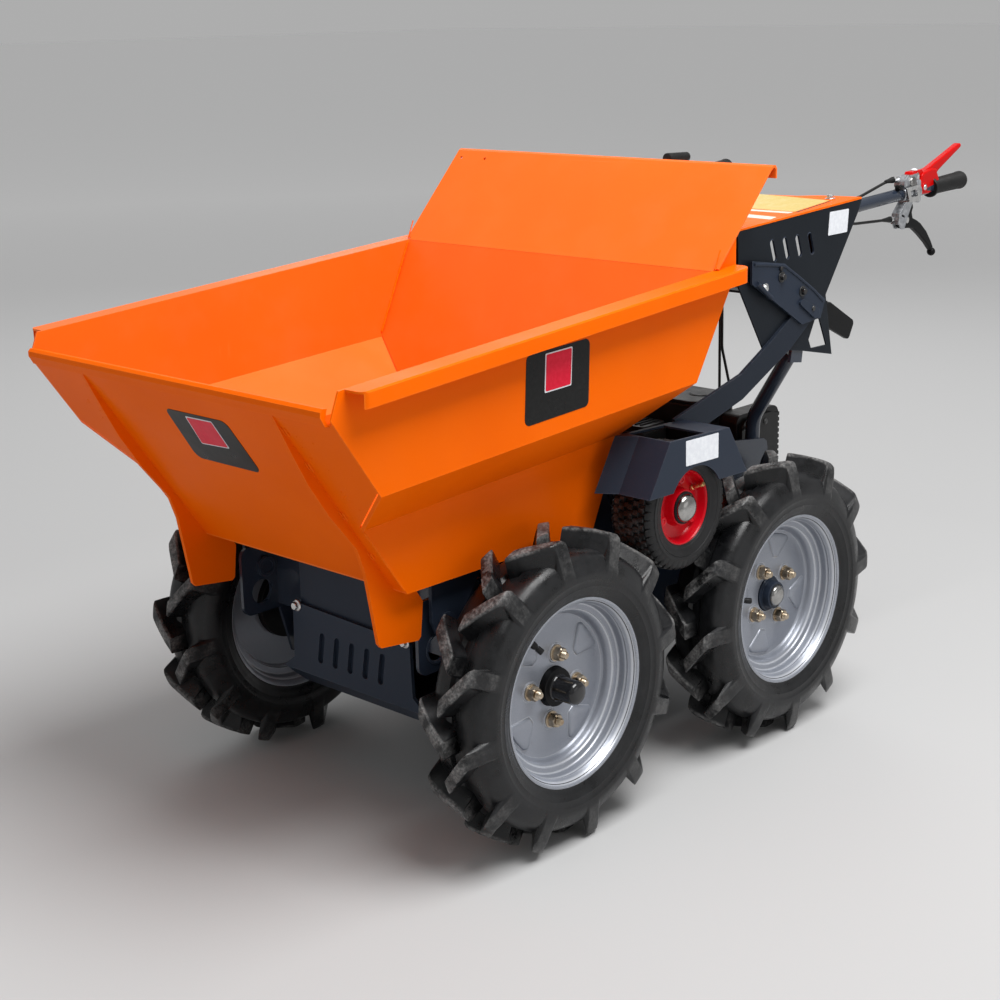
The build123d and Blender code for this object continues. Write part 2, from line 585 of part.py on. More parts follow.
# lever perches: block clamped round the bar and a drop bracket to the lever's pivot, (x, z)
LEVER_Y, LEVER_T = 258.0, 10.0
PERCH_BLOCK = [(-985, 604), (-1036, 607), (-1040, 612), (-1040, 644), (-1034, 650), (-990, 647), (-985, 641)]
PERCH_DROP = [(-975, 606), (-1036, 610), (-1030, 590), (-1012, 566), (-1002, 560), (-990, 562), (-975, 585)]
with BuildPart() as perches:
    for side, s in SIDES:
        with BuildSketch(side_plane(s * 256 + 16)):
            outline(PERCH_BLOCK)
        extrude(amount=32)
        with BuildSketch(side_plane(s * LEVER_Y + 9)):
            outline(PERCH_DROP)
        extrude(amount=18)
        # slot for the lever
        with BuildSketch(side_plane(s * LEVER_Y + LEVER_T / 2)):
            with Locations((-1000, 545)):
                Rectangle(90, 60)
        extrude(amount=LEVER_T, mode=Mode.SUBTRACT)
        add(bars[side], mode=Mode.SUBTRACT)
finish(perches, "lever_perches")

# hand levers: (x, z) outline, hanging under the grips
LEVER = [(-995, 553.5), (-1000, 568), (-1012, 572), (-1024, 562), (-1060, 541), (-1100, 507),
         (-1106, 498), (-1098, 490), (-1090, 494), (-1050, 528), (-1012, 546)]
with BuildPart() as levers:
    for side, s in SIDES:
        with BuildSketch(side_plane(s * LEVER_Y + LEVER_T / 2)):
            outline(LEVER)
        extrude(amount=LEVER_T)
finish(levers, "hand_levers")

# locking lever on the left bar: body against the perch, then a thin thumb arm, (x, z)
LOCK_BODY = [(-1041, 612), (-1041, 650), (-1062, 655), (-1108, 650), (-1116, 640), (-1076, 640), (-1073, 612)]
LOCK_ARM = [(-1060, 645), (-1080, 654), (-1178, 694), (-1184, 691), (-1180, 684), (-1108, 645)]
with BuildPart() as lock:
    with BuildSketch(side_plane(257 + 12)):
        outline(LOCK_BODY)
    extrude(amount=24)
    with BuildSketch(side_plane(257 + 7)):
        outline(LOCK_ARM)
    extrude(amount=14)
    add(bars["left"], mode=Mode.SUBTRACT)
finish(lock, "locking_lever")

# gear lever through the console's lid, with a cross grip along the machine
with BuildPart() as gear:
    with BuildSketch(Plane(origin=(FRONT_X - 760, -90, AXLE_Z + 560), z_dir=(-0.28, 0, 1))):
        Circle(GEAR_R)
    extrude(amount=122)
    # pivot pin into the rear wall
    with BuildSketch(cross_plane(-793)):
        with Locations(GEAR_PIVOT):
            Circle(GEAR_R)
    extrude(amount=33)
    with BuildSketch(cross_plane(-831)):
        with Locations((-90, 684)):
            Circle(11)
    extrude(amount=75)
    fillet(gear.edges().filter_by(GeomType.CIRCLE).filter_by(lambda e: e.radius > 10), 5)
finish(gear, "gear_lever")

# control cables: (label, bend radius, route points (x, y, z))
CABLE_R = 2.5
CABLES = [
    ("brake", 60, [(-790, 226, 603), (-886, 240, 622), (-957, 243, 639), (-984.8, 247, 643)]),
    ("drive", 80, [(-780, 234, 590), (-870, 240, 576), (-980, 251, 574)]),
]
ENGINE_CABLES = [
    ("throttle", 50, [(-727, 60, 466), (-727, 60, 350), (-729, 60, 186)]),
    ("choke", 50, [(-723, 67, 466), (-724, 67, 361), (-748, 67, 290), (-748, 67, 186)]),
]
with BuildPart() as cables:
    for name, r, route_points in CABLES:
        for side, s in SIDES:
            with BuildLine() as route:
                FilletPolyline(*[(FRONT_X + x, s * y, AXLE_Z + z) for x, y, z in route_points], radius=r)
            with BuildSketch(Plane(origin=route.line @ 0, z_dir=route.line % 0)):
                Circle(CABLE_R)
            sweep(path=route.wires()[0])
finish(cables, "handle_cables")

with BuildPart() as engine_cables:
    for name, r, route_points in ENGINE_CABLES:
        with BuildLine() as route:
            FilletPolyline(*[(FRONT_X + x, y, AXLE_Z + z) for x, y, z in route_points], radius=r)
        with BuildSketch(Plane(origin=route.line @ 0, z_dir=route.line % 0)):
            Circle(CABLE_R)
        sweep(path=route.wires()[0])
finish(engine_cables, "engine_cables")
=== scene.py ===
import math
import random

import bmesh
import bpy
from mathutils import Matrix, Vector


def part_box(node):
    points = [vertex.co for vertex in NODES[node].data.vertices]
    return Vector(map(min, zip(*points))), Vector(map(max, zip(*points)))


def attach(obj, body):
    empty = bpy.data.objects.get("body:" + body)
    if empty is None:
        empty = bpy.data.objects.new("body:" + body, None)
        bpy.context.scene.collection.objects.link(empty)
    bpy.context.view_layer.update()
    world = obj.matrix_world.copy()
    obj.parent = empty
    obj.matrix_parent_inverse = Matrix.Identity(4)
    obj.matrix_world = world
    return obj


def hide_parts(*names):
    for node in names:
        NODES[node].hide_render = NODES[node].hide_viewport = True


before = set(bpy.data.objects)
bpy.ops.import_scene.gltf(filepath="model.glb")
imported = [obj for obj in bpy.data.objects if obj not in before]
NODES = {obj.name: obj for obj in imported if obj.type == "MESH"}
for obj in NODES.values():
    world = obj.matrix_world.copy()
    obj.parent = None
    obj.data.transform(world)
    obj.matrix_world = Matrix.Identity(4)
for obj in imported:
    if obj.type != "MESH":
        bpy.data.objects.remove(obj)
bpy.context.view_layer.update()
rng = random.Random(7)

# The part's measuring frame: millimetres from the middle of the front axle.
FRONT_X, AXLE_Z = 378.5, 237.0
WHEELBASE = 541.0


def P(x, y, z):
    return Vector(((FRONT_X + x) / 1000, y / 1000, (AXLE_Z + z) / 1000))


# ------------------------------------------------------------------ node helpers
def sock(node, name, value):
    node.inputs[name].default_value = value


class Mat:
    """A node material being put together."""

    def __init__(self, name):
        self.m = bpy.data.materials.new(name)
        self.m.use_nodes = True
        self.nt = self.m.node_tree
        self.out = self.nt.nodes["Principled BSDF"]
        self.tc = self.nt.nodes.new("ShaderNodeTexCoord")

    def new(self, kind, **kw):
        n = self.nt.nodes.new(kind)
        for k, v in kw.items():
            if k.startswith("s_"):
                setattr(n, k[2:], v)
            else:
                n.inputs[k.replace("_", " ")].default_value = v
        return n

    def link(self, a, b):
        self.nt.links.new(a, b)

    def noise(self, scale, detail=2.0, rough=0.5, stretch=None, distort=0.0):
        n = self.new("ShaderNodeTexNoise", Scale=scale, Detail=detail, Roughness=rough, Distortion=distort)
        if stretch:
            mp = self.new("ShaderNodeMapping")
            mp.inputs["Scale"].default_value = stretch
            self.link(self.tc.outputs["Object"], mp.inputs["Vector"])
            self.link(mp.outputs["Vector"], n.inputs["Vector"])
        else:
            self.link(self.tc.outputs["Object"], n.inputs["Vector"])
        return n.outputs["Fac"]

    def ramp(self, value, lo, hi, a=0.0, b=1.0):
        n = self.new("ShaderNodeMapRange", From_Min=lo, From_Max=hi, To_Min=a, To_Max=b)
        self.link(value, n.inputs["Value"])
        return n.outputs["Result"]

    def math(self, op, a, b):
        n = self.nt.nodes.new("ShaderNodeMath")
        n.operation = op
        for i, v in enumerate((a, b)):
            if isinstance(v, (int, float)):
                n.inputs[i].default_value = v
            else:
                self.link(v, n.inputs[i])
        return n.outputs[0]

    def mix(self, fac, a, b):
        n = self.nt.nodes.new("ShaderNodeMix")
        n.data_type = "RGBA"
        self.link(fac, n.inputs["Factor"])
        for key, v in (("A", a), ("B", b)):
            s = [i for i in n.inputs if i.name == key and i.type == "RGBA"][0]
            if isinstance(v, tuple):
                s.default_value = (*v, 1)
            else:
                self.link(v, s)
        return [o for o in n.outputs if o.type == "RGBA"][0]

    def bump(self, value, strength, distance, under=None):
        n = self.new("ShaderNodeBump", Strength=strength, Distance=distance)
        self.link(value, n.inputs["Height"])
        if under is not None:
            self.link(under, n.inputs["Normal"])
        return n.outputs["Normal"]

    def edges(self, radius, lo=0.985, hi=0.86):
        """1 on the part's edges and 0 on its flats."""
        bev = self.nt.nodes.new("ShaderNodeBevel")
        bev.samples = 3
        bev.inputs["Radius"].default_value = radius
        geo = self.nt.nodes.new("ShaderNodeNewGeometry")
        dot = self.nt.nodes.new("ShaderNodeVectorMath")
        dot.operation = "DOT_PRODUCT"
        self.link(bev.outputs["Normal"], dot.inputs[0])
        self.link(geo.outputs["Normal"], dot.inputs[1])
        return self.ramp(dot.outputs["Value"], lo, hi)

    def attr(self, name):
        n = self.nt.nodes.new("ShaderNodeAttribute")
        n.attribute_name = name
        return n.outputs["Fac"]

    def finish(self, colour=None, rough=None, normal=None, **sockets):
        b = self.out
        if colour is not None:
            if isinstance(colour, tuple):
                b.inputs["Base Color"].default_value = (*colour, 1)
            else:
                self.link(colour, b.inputs["Base Color"])
        if rough is not None:
            if isinstance(rough, (int, float)):
                b.inputs["Roughness"].default_value = rough
            else:
                self.link(rough, b.inputs["Roughness"])
        if normal is not None:
            self.link(normal, b.inputs["Normal"])
        for k, v in sockets.items():
            b.inputs[k.replace("_", " ")].default_value = v
        return self.m


def paint(name, base, shade, light, rough, coat, peel=0.06, dust=(0.5, 0.46, 0.4), dust_amount=0.10, edge_wear_and_highlight=None,
          metallic=0.0, scuffs=0.0, specular=0.3):
    """Powder-coated sheet: drifting tone, orange-peel, fine dust, pale edges that are partly rubbed paint and partly a
    painted highlight, and faint scuffs.
    """
    m = Mat(name)
    drift = m.ramp(m.noise(4.0, 3.0), 0.35, 0.65)
    c = m.mix(drift, base, shade)
    fleck = m.ramp(m.noise(900.0, 2.0), 0.60, 0.78, 0.0, 0.25)
    c = m.mix(fleck, c, light)
    specks = m.math("MULTIPLY", m.ramp(m.noise(260.0, 4.0, 0.7), 0.63, 0.80), m.ramp(m.noise(9.0, 3.0), 0.42, 0.62))
    c = m.mix(m.math("MULTIPLY", specks, dust_amount * 4), c, dust)
    haze = m.math("MULTIPLY", m.ramp(m.noise(14.0, 5.0, 0.6), 0.45, 0.75), dust_amount)
    c = m.mix(haze, c, dust)
    rough_v = m.math("ADD", m.ramp(m.noise(7.0, 4.0), 0.3, 0.7, rough * 0.85, rough * 1.2), m.math("MULTIPLY", haze, 0.8))
    if scuffs:
        s = m.math("MULTIPLY", m.ramp(m.noise(55.0, 5.0, 0.65, stretch=(1, 1, 0.12)), 0.66, 0.74),
                   m.ramp(m.noise(5.0, 2.0), 0.5, 0.62))
        c = m.mix(m.math("MULTIPLY", s, scuffs), c, light)
        rough_v = m.math("ADD", rough_v, m.math("MULTIPLY", s, 0.25))
    # edges lightened towards the edge colour: partly rubbed paint, partly a painted highlight
    if edge_wear_and_highlight:
        e = m.math("MULTIPLY", m.edges(0.0022), m.ramp(m.noise(120.0, 3.0), 0.35, 0.6, 0.15, 0.8))
        c = m.mix(e, c, edge_wear_and_highlight)
    n = m.bump(m.noise(700.0, 2.0), peel, 0.0006)
    n = m.bump(m.noise(18.0, 2.0), 0.05, 0.004, under=n)
    return m.finish(c, rough_v, n, Metallic=metallic, Coat_Weight=coat, Coat_Roughness=0.12, Specular_IOR_Level=specular)


ORANGE = paint("orange_paint", (0.93, 0.138, 0.0), (0.88, 0.124, 0.0), (1.0, 0.20, 0.02), 0.40, 0.03,
               edge_wear_and_highlight=(1.0, 0.22, 0.02), dust=(0.80, 0.30, 0.09), dust_amount=0.02, scuffs=0.2, specular=0.03)
# lighter copy of the orange for the skip's inside faces: its brighter base is painted light; it also has more dust and
# a glossier finish
ORANGE_INSIDE_LIT = paint("orange_paint_inside_lit", (0.95, 0.158, 0.008), (0.92, 0.146, 0.006), (1.0, 0.24, 0.04), 0.44, 0.05,
                  edge_wear_and_highlight=(1.0, 0.24, 0.04), dust=(0.85, 0.34, 0.14), dust_amount=0.05, scuffs=0.3, specular=0.28)
SLATE = paint("slate_paint", (0.0195, 0.0275, 0.045), (0.016, 0.023, 0.038), (0.065, 0.08, 0.10), 0.36, 0.07,
              edge_wear_and_highlight=(0.06, 0.074, 0.10), dust=(0.11, 0.11, 0.12), dust_amount=0.03, scuffs=0.25, specular=0.13)
# lighter copy of the slate for the nose plate: painted light standing in for light from the front
NOSE_PAINT_LIT = paint("nose_paint_lit", (0.026, 0.036, 0.057), (0.022, 0.031, 0.049), (0.065, 0.08, 0.10), 0.36, 0.07,
                   edge_wear_and_highlight=(0.065, 0.08, 0.105), dust=(0.11, 0.11, 0.12), dust_amount=0.03, scuffs=0.3, specular=0.13)
# darker copy of the slate for the frame rails: painted shade
RAIL_PAINT_SHADED = paint("rail_paint_shaded", (0.0145, 0.0195, 0.030), (0.012, 0.0165, 0.0255), (0.055, 0.067, 0.085), 0.38, 0.05,
                   edge_wear_and_highlight=(0.055, 0.067, 0.09), dust=(0.09, 0.09, 0.10), dust_amount=0.03, scuffs=0.25, specular=0.10)
TUBE_PAINT = paint("tube_paint", (0.0195, 0.0275, 0.045), (0.016, 0.023, 0.038), (0.065, 0.08, 0.10), 0.22, 0.45,
                   dust=(0.11, 0.11, 0.12), dust_amount=0.03, scuffs=0.2, specular=0.3)
DARK = paint("console_paint", (0.0095, 0.0125, 0.0175), (0.0075, 0.010, 0.014), (0.035, 0.044, 0.055), 0.42, 0.03,
             edge_wear_and_highlight=(0.045, 0.052, 0.065), dust=(0.08, 0.085, 0.095), dust_amount=0.03, scuffs=0.25, specular=0.11)
GLOSS_BLACK = paint("gloss_black", (0.006, 0.006, 0.007), (0.009, 0.009, 0.01), (0.03, 0.03, 0.03), 0.18, 0.5,
                    dust=(0.15, 0.15, 0.15), dust_amount=0.03)
SATIN_BLACK = paint("satin_black", (0.0045, 0.0045, 0.005), (0.007, 0.007, 0.0075), (0.03, 0.03, 0.03), 0.42, 0.04,
                    dust=(0.09, 0.09, 0.09), dust_amount=0.04, edge_wear_and_highlight=(0.03, 0.03, 0.03), specular=0.10)
RED = paint("red_plastic", (0.62, 0.001, 0.010), (0.52, 0.001, 0.009), (0.85, 0.05, 0.06), 0.28, 0.15,
            dust=(0.6, 0.1, 0.1), dust_amount=0.02, specular=0.2)
RED_LEVER = paint("red_lever", (0.60, 0.002, 0.001), (0.50, 0.001, 0.001), (0.8, 0.03, 0.02), 0.3, 0.05,
                  dust=(0.6, 0.1, 0.1), dust_amount=0.02, specular=0.12)


def silver_paint():
    m = Mat("wheel_silver")
    flake = m.noise(2600.0, 1.0)
    c = m.mix(m.ramp(flake, 0.35, 0.65), (0.195, 0.212, 0.25), (0.345, 0.363, 0.41))
    c = m.mix(m.ramp(m.noise(9.0, 3.0), 0.35, 0.7, 0.0, 0.5), c, (0.26, 0.28, 0.325))
    grime = m.math("MULTIPLY", m.ramp(m.noise(60.0, 5.0, 0.7), 0.62, 0.8), 0.35)
    c = m.mix(grime, c, (0.16, 0.15, 0.14))
    # edges lightened towards near white: painted highlight
    c = m.mix(m.math("MULTIPLY", m.edges(0.002), 0.5), c, (0.80, 0.82, 0.86))
    r = m.math("ADD", m.ramp(m.noise(30.0, 3.0), 0.3, 0.7, 0.30, 0.42), m.math("MULTIPLY", grime, 0.6))
    n = m.bump(m.noise(800.0, 2.0), 0.08, 0.0006)
    n = m.bump(m.noise(40.0, 2.0), 0.06, 0.002, under=n)
    return m.finish(c, r, n, Metallic=0.45, Coat_Weight=0.3, Coat_Roughness=0.2)


SILVER = silver_paint()


def rubber(name, worn, base=(0.0036, 0.0038, 0.0043), pale=(0.0115, 0.012, 0.0135), rough=(0.24, 0.48)):
    """Moulded rubber: mottled black, dust in streaks, and the worn faces grey."""
    m = Mat(name)
    mottle = m.ramp(m.noise(22.0, 6.0, 0.65), 0.38, 0.68)
    c = m.mix(mottle, base, pale)
    dust = m.ramp(m.noise(340.0, 4.0, 0.75), 0.66, 0.80, 0.0, 0.5)
    c = m.mix(dust, c, (0.14, 0.135, 0.13))
    streak = m.math("MULTIPLY", m.ramp(m.noise(70.0, 5.0, 0.7, distort=0.6), 0.56, 0.74), 0.5)
    c = m.mix(streak, c, (0.020, 0.0205, 0.022))
    r = m.math("ADD", m.ramp(mottle, 0.0, 1.0, rough[0], rough[1]), m.math("MULTIPLY", dust, 0.3))
    if worn:
        w = m.math("MULTIPLY", m.attr("wear"), m.ramp(m.noise(38.0, 6.0, 0.7), 0.42, 0.60, 0.06, 1.0))
        rubbed = m.mix(m.ramp(m.noise(260.0, 4.0), 0.35, 0.7), (0.07, 0.07, 0.07), (0.24, 0.236, 0.232))
        c = m.mix(w, c, rubbed)
        r = m.math("ADD", r, m.math("MULTIPLY", w, 0.25))
    n = m.bump(m.noise(500.0, 3.0, 0.6), 0.25, 0.0008)
    n = m.bump(m.noise(45.0, 4.0, 0.6), 0.15, 0.003, under=n)
    return m.finish(c, r, n, Specular_IOR_Level=0.35)


TYRE = rubber("tyre_rubber", True)
GRIP = rubber("grip_rubber", False, (0.0055, 0.0055, 0.0055), (0.011, 0.011, 0.011), (0.45, 0.6))
FRICTION = rubber("friction_rubber", True, (0.0035, 0.0035, 0.0038), (0.0095, 0.0095, 0.0105), (0.4, 0.6))


def plastic(name, base, pale, rough):
    m = Mat(name)
    c = m.mix(m.ramp(m.noise(30.0, 4.0), 0.35, 0.7), base, pale)
    dust = m.ramp(m.noise(300.0, 4.0, 0.7), 0.66, 0.8, 0.0, 0.35)
    c = m.mix(dust, c, (0.16, 0.15, 0.14))
    # edges lightened: painted highlight
    c = m.mix(m.math("MULTIPLY", m.edges(0.0015), 0.5), c, tuple(min(1.0, v * 3 + 0.01) for v in base))
    n = m.bump(m.noise(1100.0, 3.0), 0.2, 0.0004)
    return m.finish(c, m.ramp(m.noise(60.0, 3.0), 0.3, 0.7, rough * 0.9, rough * 1.15), n, Specular_IOR_Level=0.3)


BLACK_PLASTIC = plastic("black_plastic", (0.006, 0.006, 0.0065), (0.011, 0.011, 0.011), 0.42)
CABLE = plastic("cable_sheath", (0.008, 0.008, 0.008), (0.014, 0.014, 0.014), 0.42)


def metal(name, base, pale, rough, stain=None, scale=60.0, brushed=None):
    m = Mat(name)
    c = m.mix(m.ramp(m.noise(scale, 4.0, 0.6), 0.35, 0.7), base, pale)
    if stain:
        c = m.mix(m.ramp(m.noise(scale * 3, 5.0, 0.7), 0.55, 0.75, 0.0, 0.7), c, stain)
    n = m.bump(m.noise(900.0, 3.0), 0.15, 0.0004)
    if brushed:
        n = m.bump(m.noise(500.0, 3.0, stretch=brushed), 0.12, 0.0005, under=n)
    return m.finish(c, m.ramp(m.noise(scale * 2, 3.0), 0.3, 0.7, rough * 0.75, rough * 1.3), n, Metallic=1.0)


ZINC = metal("zinc_plate", (0.62, 0.62, 0.62), (0.80, 0.80, 0.79), 0.28)
BRASS = metal("passivated_zinc", (0.36, 0.28, 0.19), (0.60, 0.52, 0.41), 0.32, stain=(0.14, 0.09, 0.06))
GOLD = metal("valve_brass", (0.60, 0.33, 0.12), (0.75, 0.50, 0.22), 0.3, stain=(0.3, 0.14, 0.06))
CHROME = metal("cap_steel", (0.30, 0.295, 0.285), (0.47, 0.465, 0.45), 0.18, stain=(0.18, 0.17, 0.155), scale=35.0)
ALLOY = metal("die_cast", (0.42, 0.44, 0.47), (0.66, 0.67, 0.69), 0.42, stain=(0.25, 0.26, 0.28), scale=90.0)
STEEL_DARK = metal("dark_steel", (0.05, 0.05, 0.052), (0.12, 0.12, 0.12), 0.45, stain=(0.02, 0.02, 0.02))


def cast(name, base, pale):
    m = Mat(name)
    c = m.mix(m.ramp(m.noise(45.0, 5.0), 0.35, 0.7), base, pale)
    oil = m.ramp(m.noise(12.0, 4.0), 0.52, 0.68)
    c = m.mix(m.math("MULTIPLY", oil, 0.6), c, (0.012, 0.011, 0.01))
    n = m.bump(m.noise(420.0, 5.0, 0.7), 0.5, 0.001)
    return m.finish(c, m.ramp(oil, 0.0, 1.0, 0.62, 0.38), n)


CAST = cast("cast_housing", (0.035, 0.036, 0.039), (0.07, 0.07, 0.072))


def label(name, base, pale, rough=0.4):
    """Printed film: paper-fine mottle, faint rub marks, slightly soiled edges."""
    m = Mat(name)
    c = m.mix(m.ramp(m.noise(160.0, 4.0), 0.4, 0.7), base, pale)
    c = m.mix(m.ramp(m.noise(26.0, 5.0, 0.7), 0.60, 0.8, 0.0, 0.14), c, tuple(0.6 * v + 0.02 for v in pale))
    n = m.bump(m.noise(600.0, 2.0), 0.08, 0.0004)
    return m.finish(c, m.ramp(m.noise(40.0, 3.0), 0.3, 0.7, rough * 0.85, rough * 1.2), n, Specular_IOR_Level=0.2)


WHITE_LABEL = label("white_label", (0.72, 0.74, 0.78), (0.80, 0.82, 0.85))
YELLOW_LABEL = label("yellow_label", (0.555, 0.407, 0.0888), (0.6068, 0.4736, 0.1628))
PALE_LABEL = label("pale_stripe", (0.90, 0.62, 0.50), (0.95, 0.75, 0.65))
BLACK_LABEL = label("black_label", (0.005, 0.005, 0.005), (0.009, 0.009, 0.009), 0.3)
RED_LABEL = label("red_label", (0.70, 0.003, 0.030), (0.76, 0.01, 0.045), 0.32)


# ------------------------------------------------------------------ mesh helpers
class Shape:
    """Vertices and faces gathered from several forms, each with its material."""

    def __init__(self):
        self.v, self.f, self.m, self.mats, self.values = [], [], [], [], {}

    def add(self, form, mat):
        verts, faces = form
        if mat not in self.mats:
            self.mats.append(mat)
        i, b = self.mats.index(mat), len(self.v)
        self.v += [tuple(p) for p in verts]
        self.f += [tuple(b + k for k in f) for f in faces]
        self.m += [i] * len(faces)
        return self

    def make(self, name, body, slot=None, smooth=34, bevel=0.0, segments=2, limit=32, replaces=(), weld=True,
             subsurf=0, attribute=None, fix=True):
        me = bpy.data.meshes.new(name)
        me.from_pydata(self.v, [], self.f)
        for m in self.mats:
            me.materials.append(m)
        me.polygons.foreach_set("material_index", self.m)
        if attribute:
            a = me.attributes.new(attribute[0], "FLOAT", "POINT")
            a.data.foreach_set("value", attribute[1])
        if fix:
            bm = bmesh.new()
            bm.from_mesh(me)
            if weld:
                bmesh.ops.remove_doubles(bm, verts=bm.verts, dist=1e-6)
            bmesh.ops.recalc_face_normals(bm, faces=bm.faces)
            bm.to_mesh(me)
            bm.free()
        me.polygons.foreach_set("use_smooth", [True] * len(me.polygons))
        me.set_sharp_from_angle(angle=math.radians(smooth))
        ob = bpy.data.objects.new(name, me)
        bpy.context.scene.collection.objects.link(ob)
        if bevel:
            soften(ob, bevel, segments, limit)
        if subsurf:
            s = ob.modifiers.new("subsurf", "SUBSURF")
            s.levels = s.render_levels = subsurf
        if replaces:
            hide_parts(*replaces)
        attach(ob, body)
        return ob


def soften(ob, width, segments=2, limit=32):
    b = ob.modifiers.new("bevel", "BEVEL")
    b.width, b.segments = width / 1000, segments
    b.limit_method, b.angle_limit = "ANGLE", math.radians(limit)
    b.harden_normals = False
    b.miter_outer = "MITER_ARC"
    w = ob.modifiers.new("normals", "WEIGHTED_NORMAL")
    w.keep_sharp = True


def basis(axis):
    a = Vector(axis).normalized()
    h = Vector((0, 0, 1)) if abs(a.z) < 0.9 else Vector((1, 0, 0))
    u = (h - a * h.dot(a)).normalized()
    return a, u, a.cross(u)


def lathe(profile, origin, axis, segs=48, closed=True, turn=0.0):
    """Turned form: profile of (radius, distance along the axis) in mm."""
    a, u, v = basis(axis)
    o = Vector(origin)
    verts, rings = [], []
    for r, d in profile:
        if r < 1e-6:
            rings.append([len(verts)])
            verts.append(o + a * (d / 1000))
        else:
            rings.append(list(range(len(verts), len(verts) + segs)))
            for k in range(segs):
                t = turn + 2 * math.pi * k / segs
                verts.append(o + a * (d / 1000) + (u * math.cos(t) + v * math.sin(t)) * (r / 1000))
    faces = []
    pairs = list(zip(rings, rings[1:]))
    if closed:
        pairs.append((rings[-1], rings[0]))
    for p, q in pairs:
        if len(p) == 1 and len(q) == 1:
            continue
        for k in range(segs):
            n = (k + 1) % segs
            if len(p) == 1:
                faces.append((p[0], q[n], q[k]))
            elif len(q) == 1:
                faces.append((p[k], p[n], q[0]))
            else:
                faces.append((p[k], p[n], q[n], q[k]))
    return verts, faces


def rounded(points, r, n=4):
    """2-D outline with its corners rounded; r is one radius or one per corner."""
    out = []
    k = len(points)
    for i, p in enumerate(points):
        a, b = Vector(points[i - 1]), Vector(points[(i + 1) % k])
        p = Vector(p)
        ri = r[i] if isinstance(r, (list, tuple)) else r
        da, db = (a - p), (b - p)
        la, lb = da.length, db.length
        if ri <= 0 or la < 1e-9 or lb < 1e-9:
            out.append(tuple(p))
            continue
        da, db = da / la, db / lb
        half = math.acos(max(-1, min(1, da.dot(db)))) / 2
        if half > math.radians(86):
            out.append(tuple(p))
            continue
        t = min(ri / math.tan(half), la * 0.49, lb * 0.49)
        rr = t * math.tan(half)
        s, e = p + da * t, p + db * t
        c = p + (da + db).normalized() * (rr / math.sin(half))
        a0, a1 = math.atan2(s.y - c.y, s.x - c.x), math.atan2(e.y - c.y, e.x - c.x)
        d = (a1 - a0 + math.pi) % (2 * math.pi) - math.pi
        for j in range(n + 1):
            t2 = a0 + d * j / n
            out.append((c.x + rr * math.cos(t2), c.y + rr * math.sin(t2)))
    return out


def prism(points, place, depth, holes=()):
    """Plate: 2-D outline in mm, place(u, v, w) gives the point, w from 0 to depth. Holes are outlines too."""
    n = len(points)
    verts = [place(u, v, 0) for u, v in points] + [place(u, v, depth) for u, v in points]
    faces = [(k, (k + 1) % n, n + (k + 1) % n, n + k) for k in range(n)]
    if not holes:
        faces += [tuple(range(n))[::-1], tuple(range(n, 2 * n))]
        return verts, faces
    bm = bmesh.new()
    loops = [points] + [list(h) for h in holes]
    for lp in loops:
        vs = [bm.verts.new((u, v, 0)) for u, v in lp]
        for a, b in zip(vs, vs[1:] + vs[:1]):
            bm.edges.new((a, b))
    bmesh.ops.triangle_fill(bm, use_beauty=True, use_dissolve=False, edges=bm.edges[:], normal=(0, 0, 1))
    bm.verts.index_update()
    flat = [(v.co.x, v.co.y) for v in bm.verts]
    tris = [tuple(v.index for v in f.verts) for f in bm.faces]
    bm.free()
    m = len(flat)
    verts = [place(u, v, 0) for u, v in flat] + [place(u, v, depth) for u, v in flat]
    faces = [t[::-1] for t in tris] + [tuple(k + m for k in t) for t in tris]
    start = 0
    for lp in loops:
        k = len(lp)
        for j in range(k):
            a, b = start + j, start + (j + 1) % k
            faces.append((a, b, m + b, m + a))
        start += k
    return verts, faces


def side(y, sign=1):
    """Side-view plate at y: (x, z) outline, thickness grows outward for sign 1."""
    return lambda u, v, w: P(u, y + sign * w, v)


def path_round(points, r, n=6):
    """3-D polyline with its corners rounded."""
    pts = [Vector(p) for p in points]
    out = [pts[0]]
    for a, p, b in zip(pts, pts[1:], pts[2:]):
        da, db = (a - p), (b - p)
        la, lb = da.length, db.length
        da, db = da / la, db / lb
        half = math.acos(max(-1, min(1, da.dot(db)))) / 2
        if half > math.radians(89):
            out.append(p)
            continue
        t = min(r / math.tan(half), la * 0.49, lb * 0.49)
        rr = t * math.tan(half)
        c = p + (da + db).normalized() * (rr / math.sin(half))
        s, e = (p + da * t - c), (p + db * t - c)
        for j in range(n + 1):
            out.append(c + (s.lerp(e, j / n)).normalized() * s.length)
    out.append(pts[-1])
    return out


def tube(points, radius, segs=12, caps=True, shape=None):
    """Tube through 3-D points in metres; radius in mm, one or one per point; shape squashes the section (u, v)."""
    pts = [Vector(p) for p in points]
    rs = radius if isinstance(radius, (list, tuple)) else [radius] * len(pts)
    su, sv = shape or (1, 1)
    t0 = (pts[1] - pts[0]).normalized()
    _, u, _ = basis(t0)
    verts, faces = [], []
    for i, p in enumerate(pts):
        t = (pts[min(i + 1, len(pts) - 1)] - pts[max(i - 1, 0)]).normalized()
        u = (u - t * u.dot(t)).normalized()
        v = t.cross(u)
        for k in range(segs):
            a = 2 * math.pi * k / segs
            verts.append(p + (u * math.cos(a) * su + v * math.sin(a) * sv) * (rs[i] / 1000))
    for i in range(len(pts) - 1):
        for k in range(segs):
            n = (k + 1) % segs
            faces.append((i * segs + k, i * segs + n, (i + 1) * segs + n, (i + 1) * segs + k))
    if caps:
        faces.append(tuple(range(segs))[::-1])
        faces.append(tuple(range((len(pts) - 1) * segs, len(pts) * segs)))
    return verts, faces


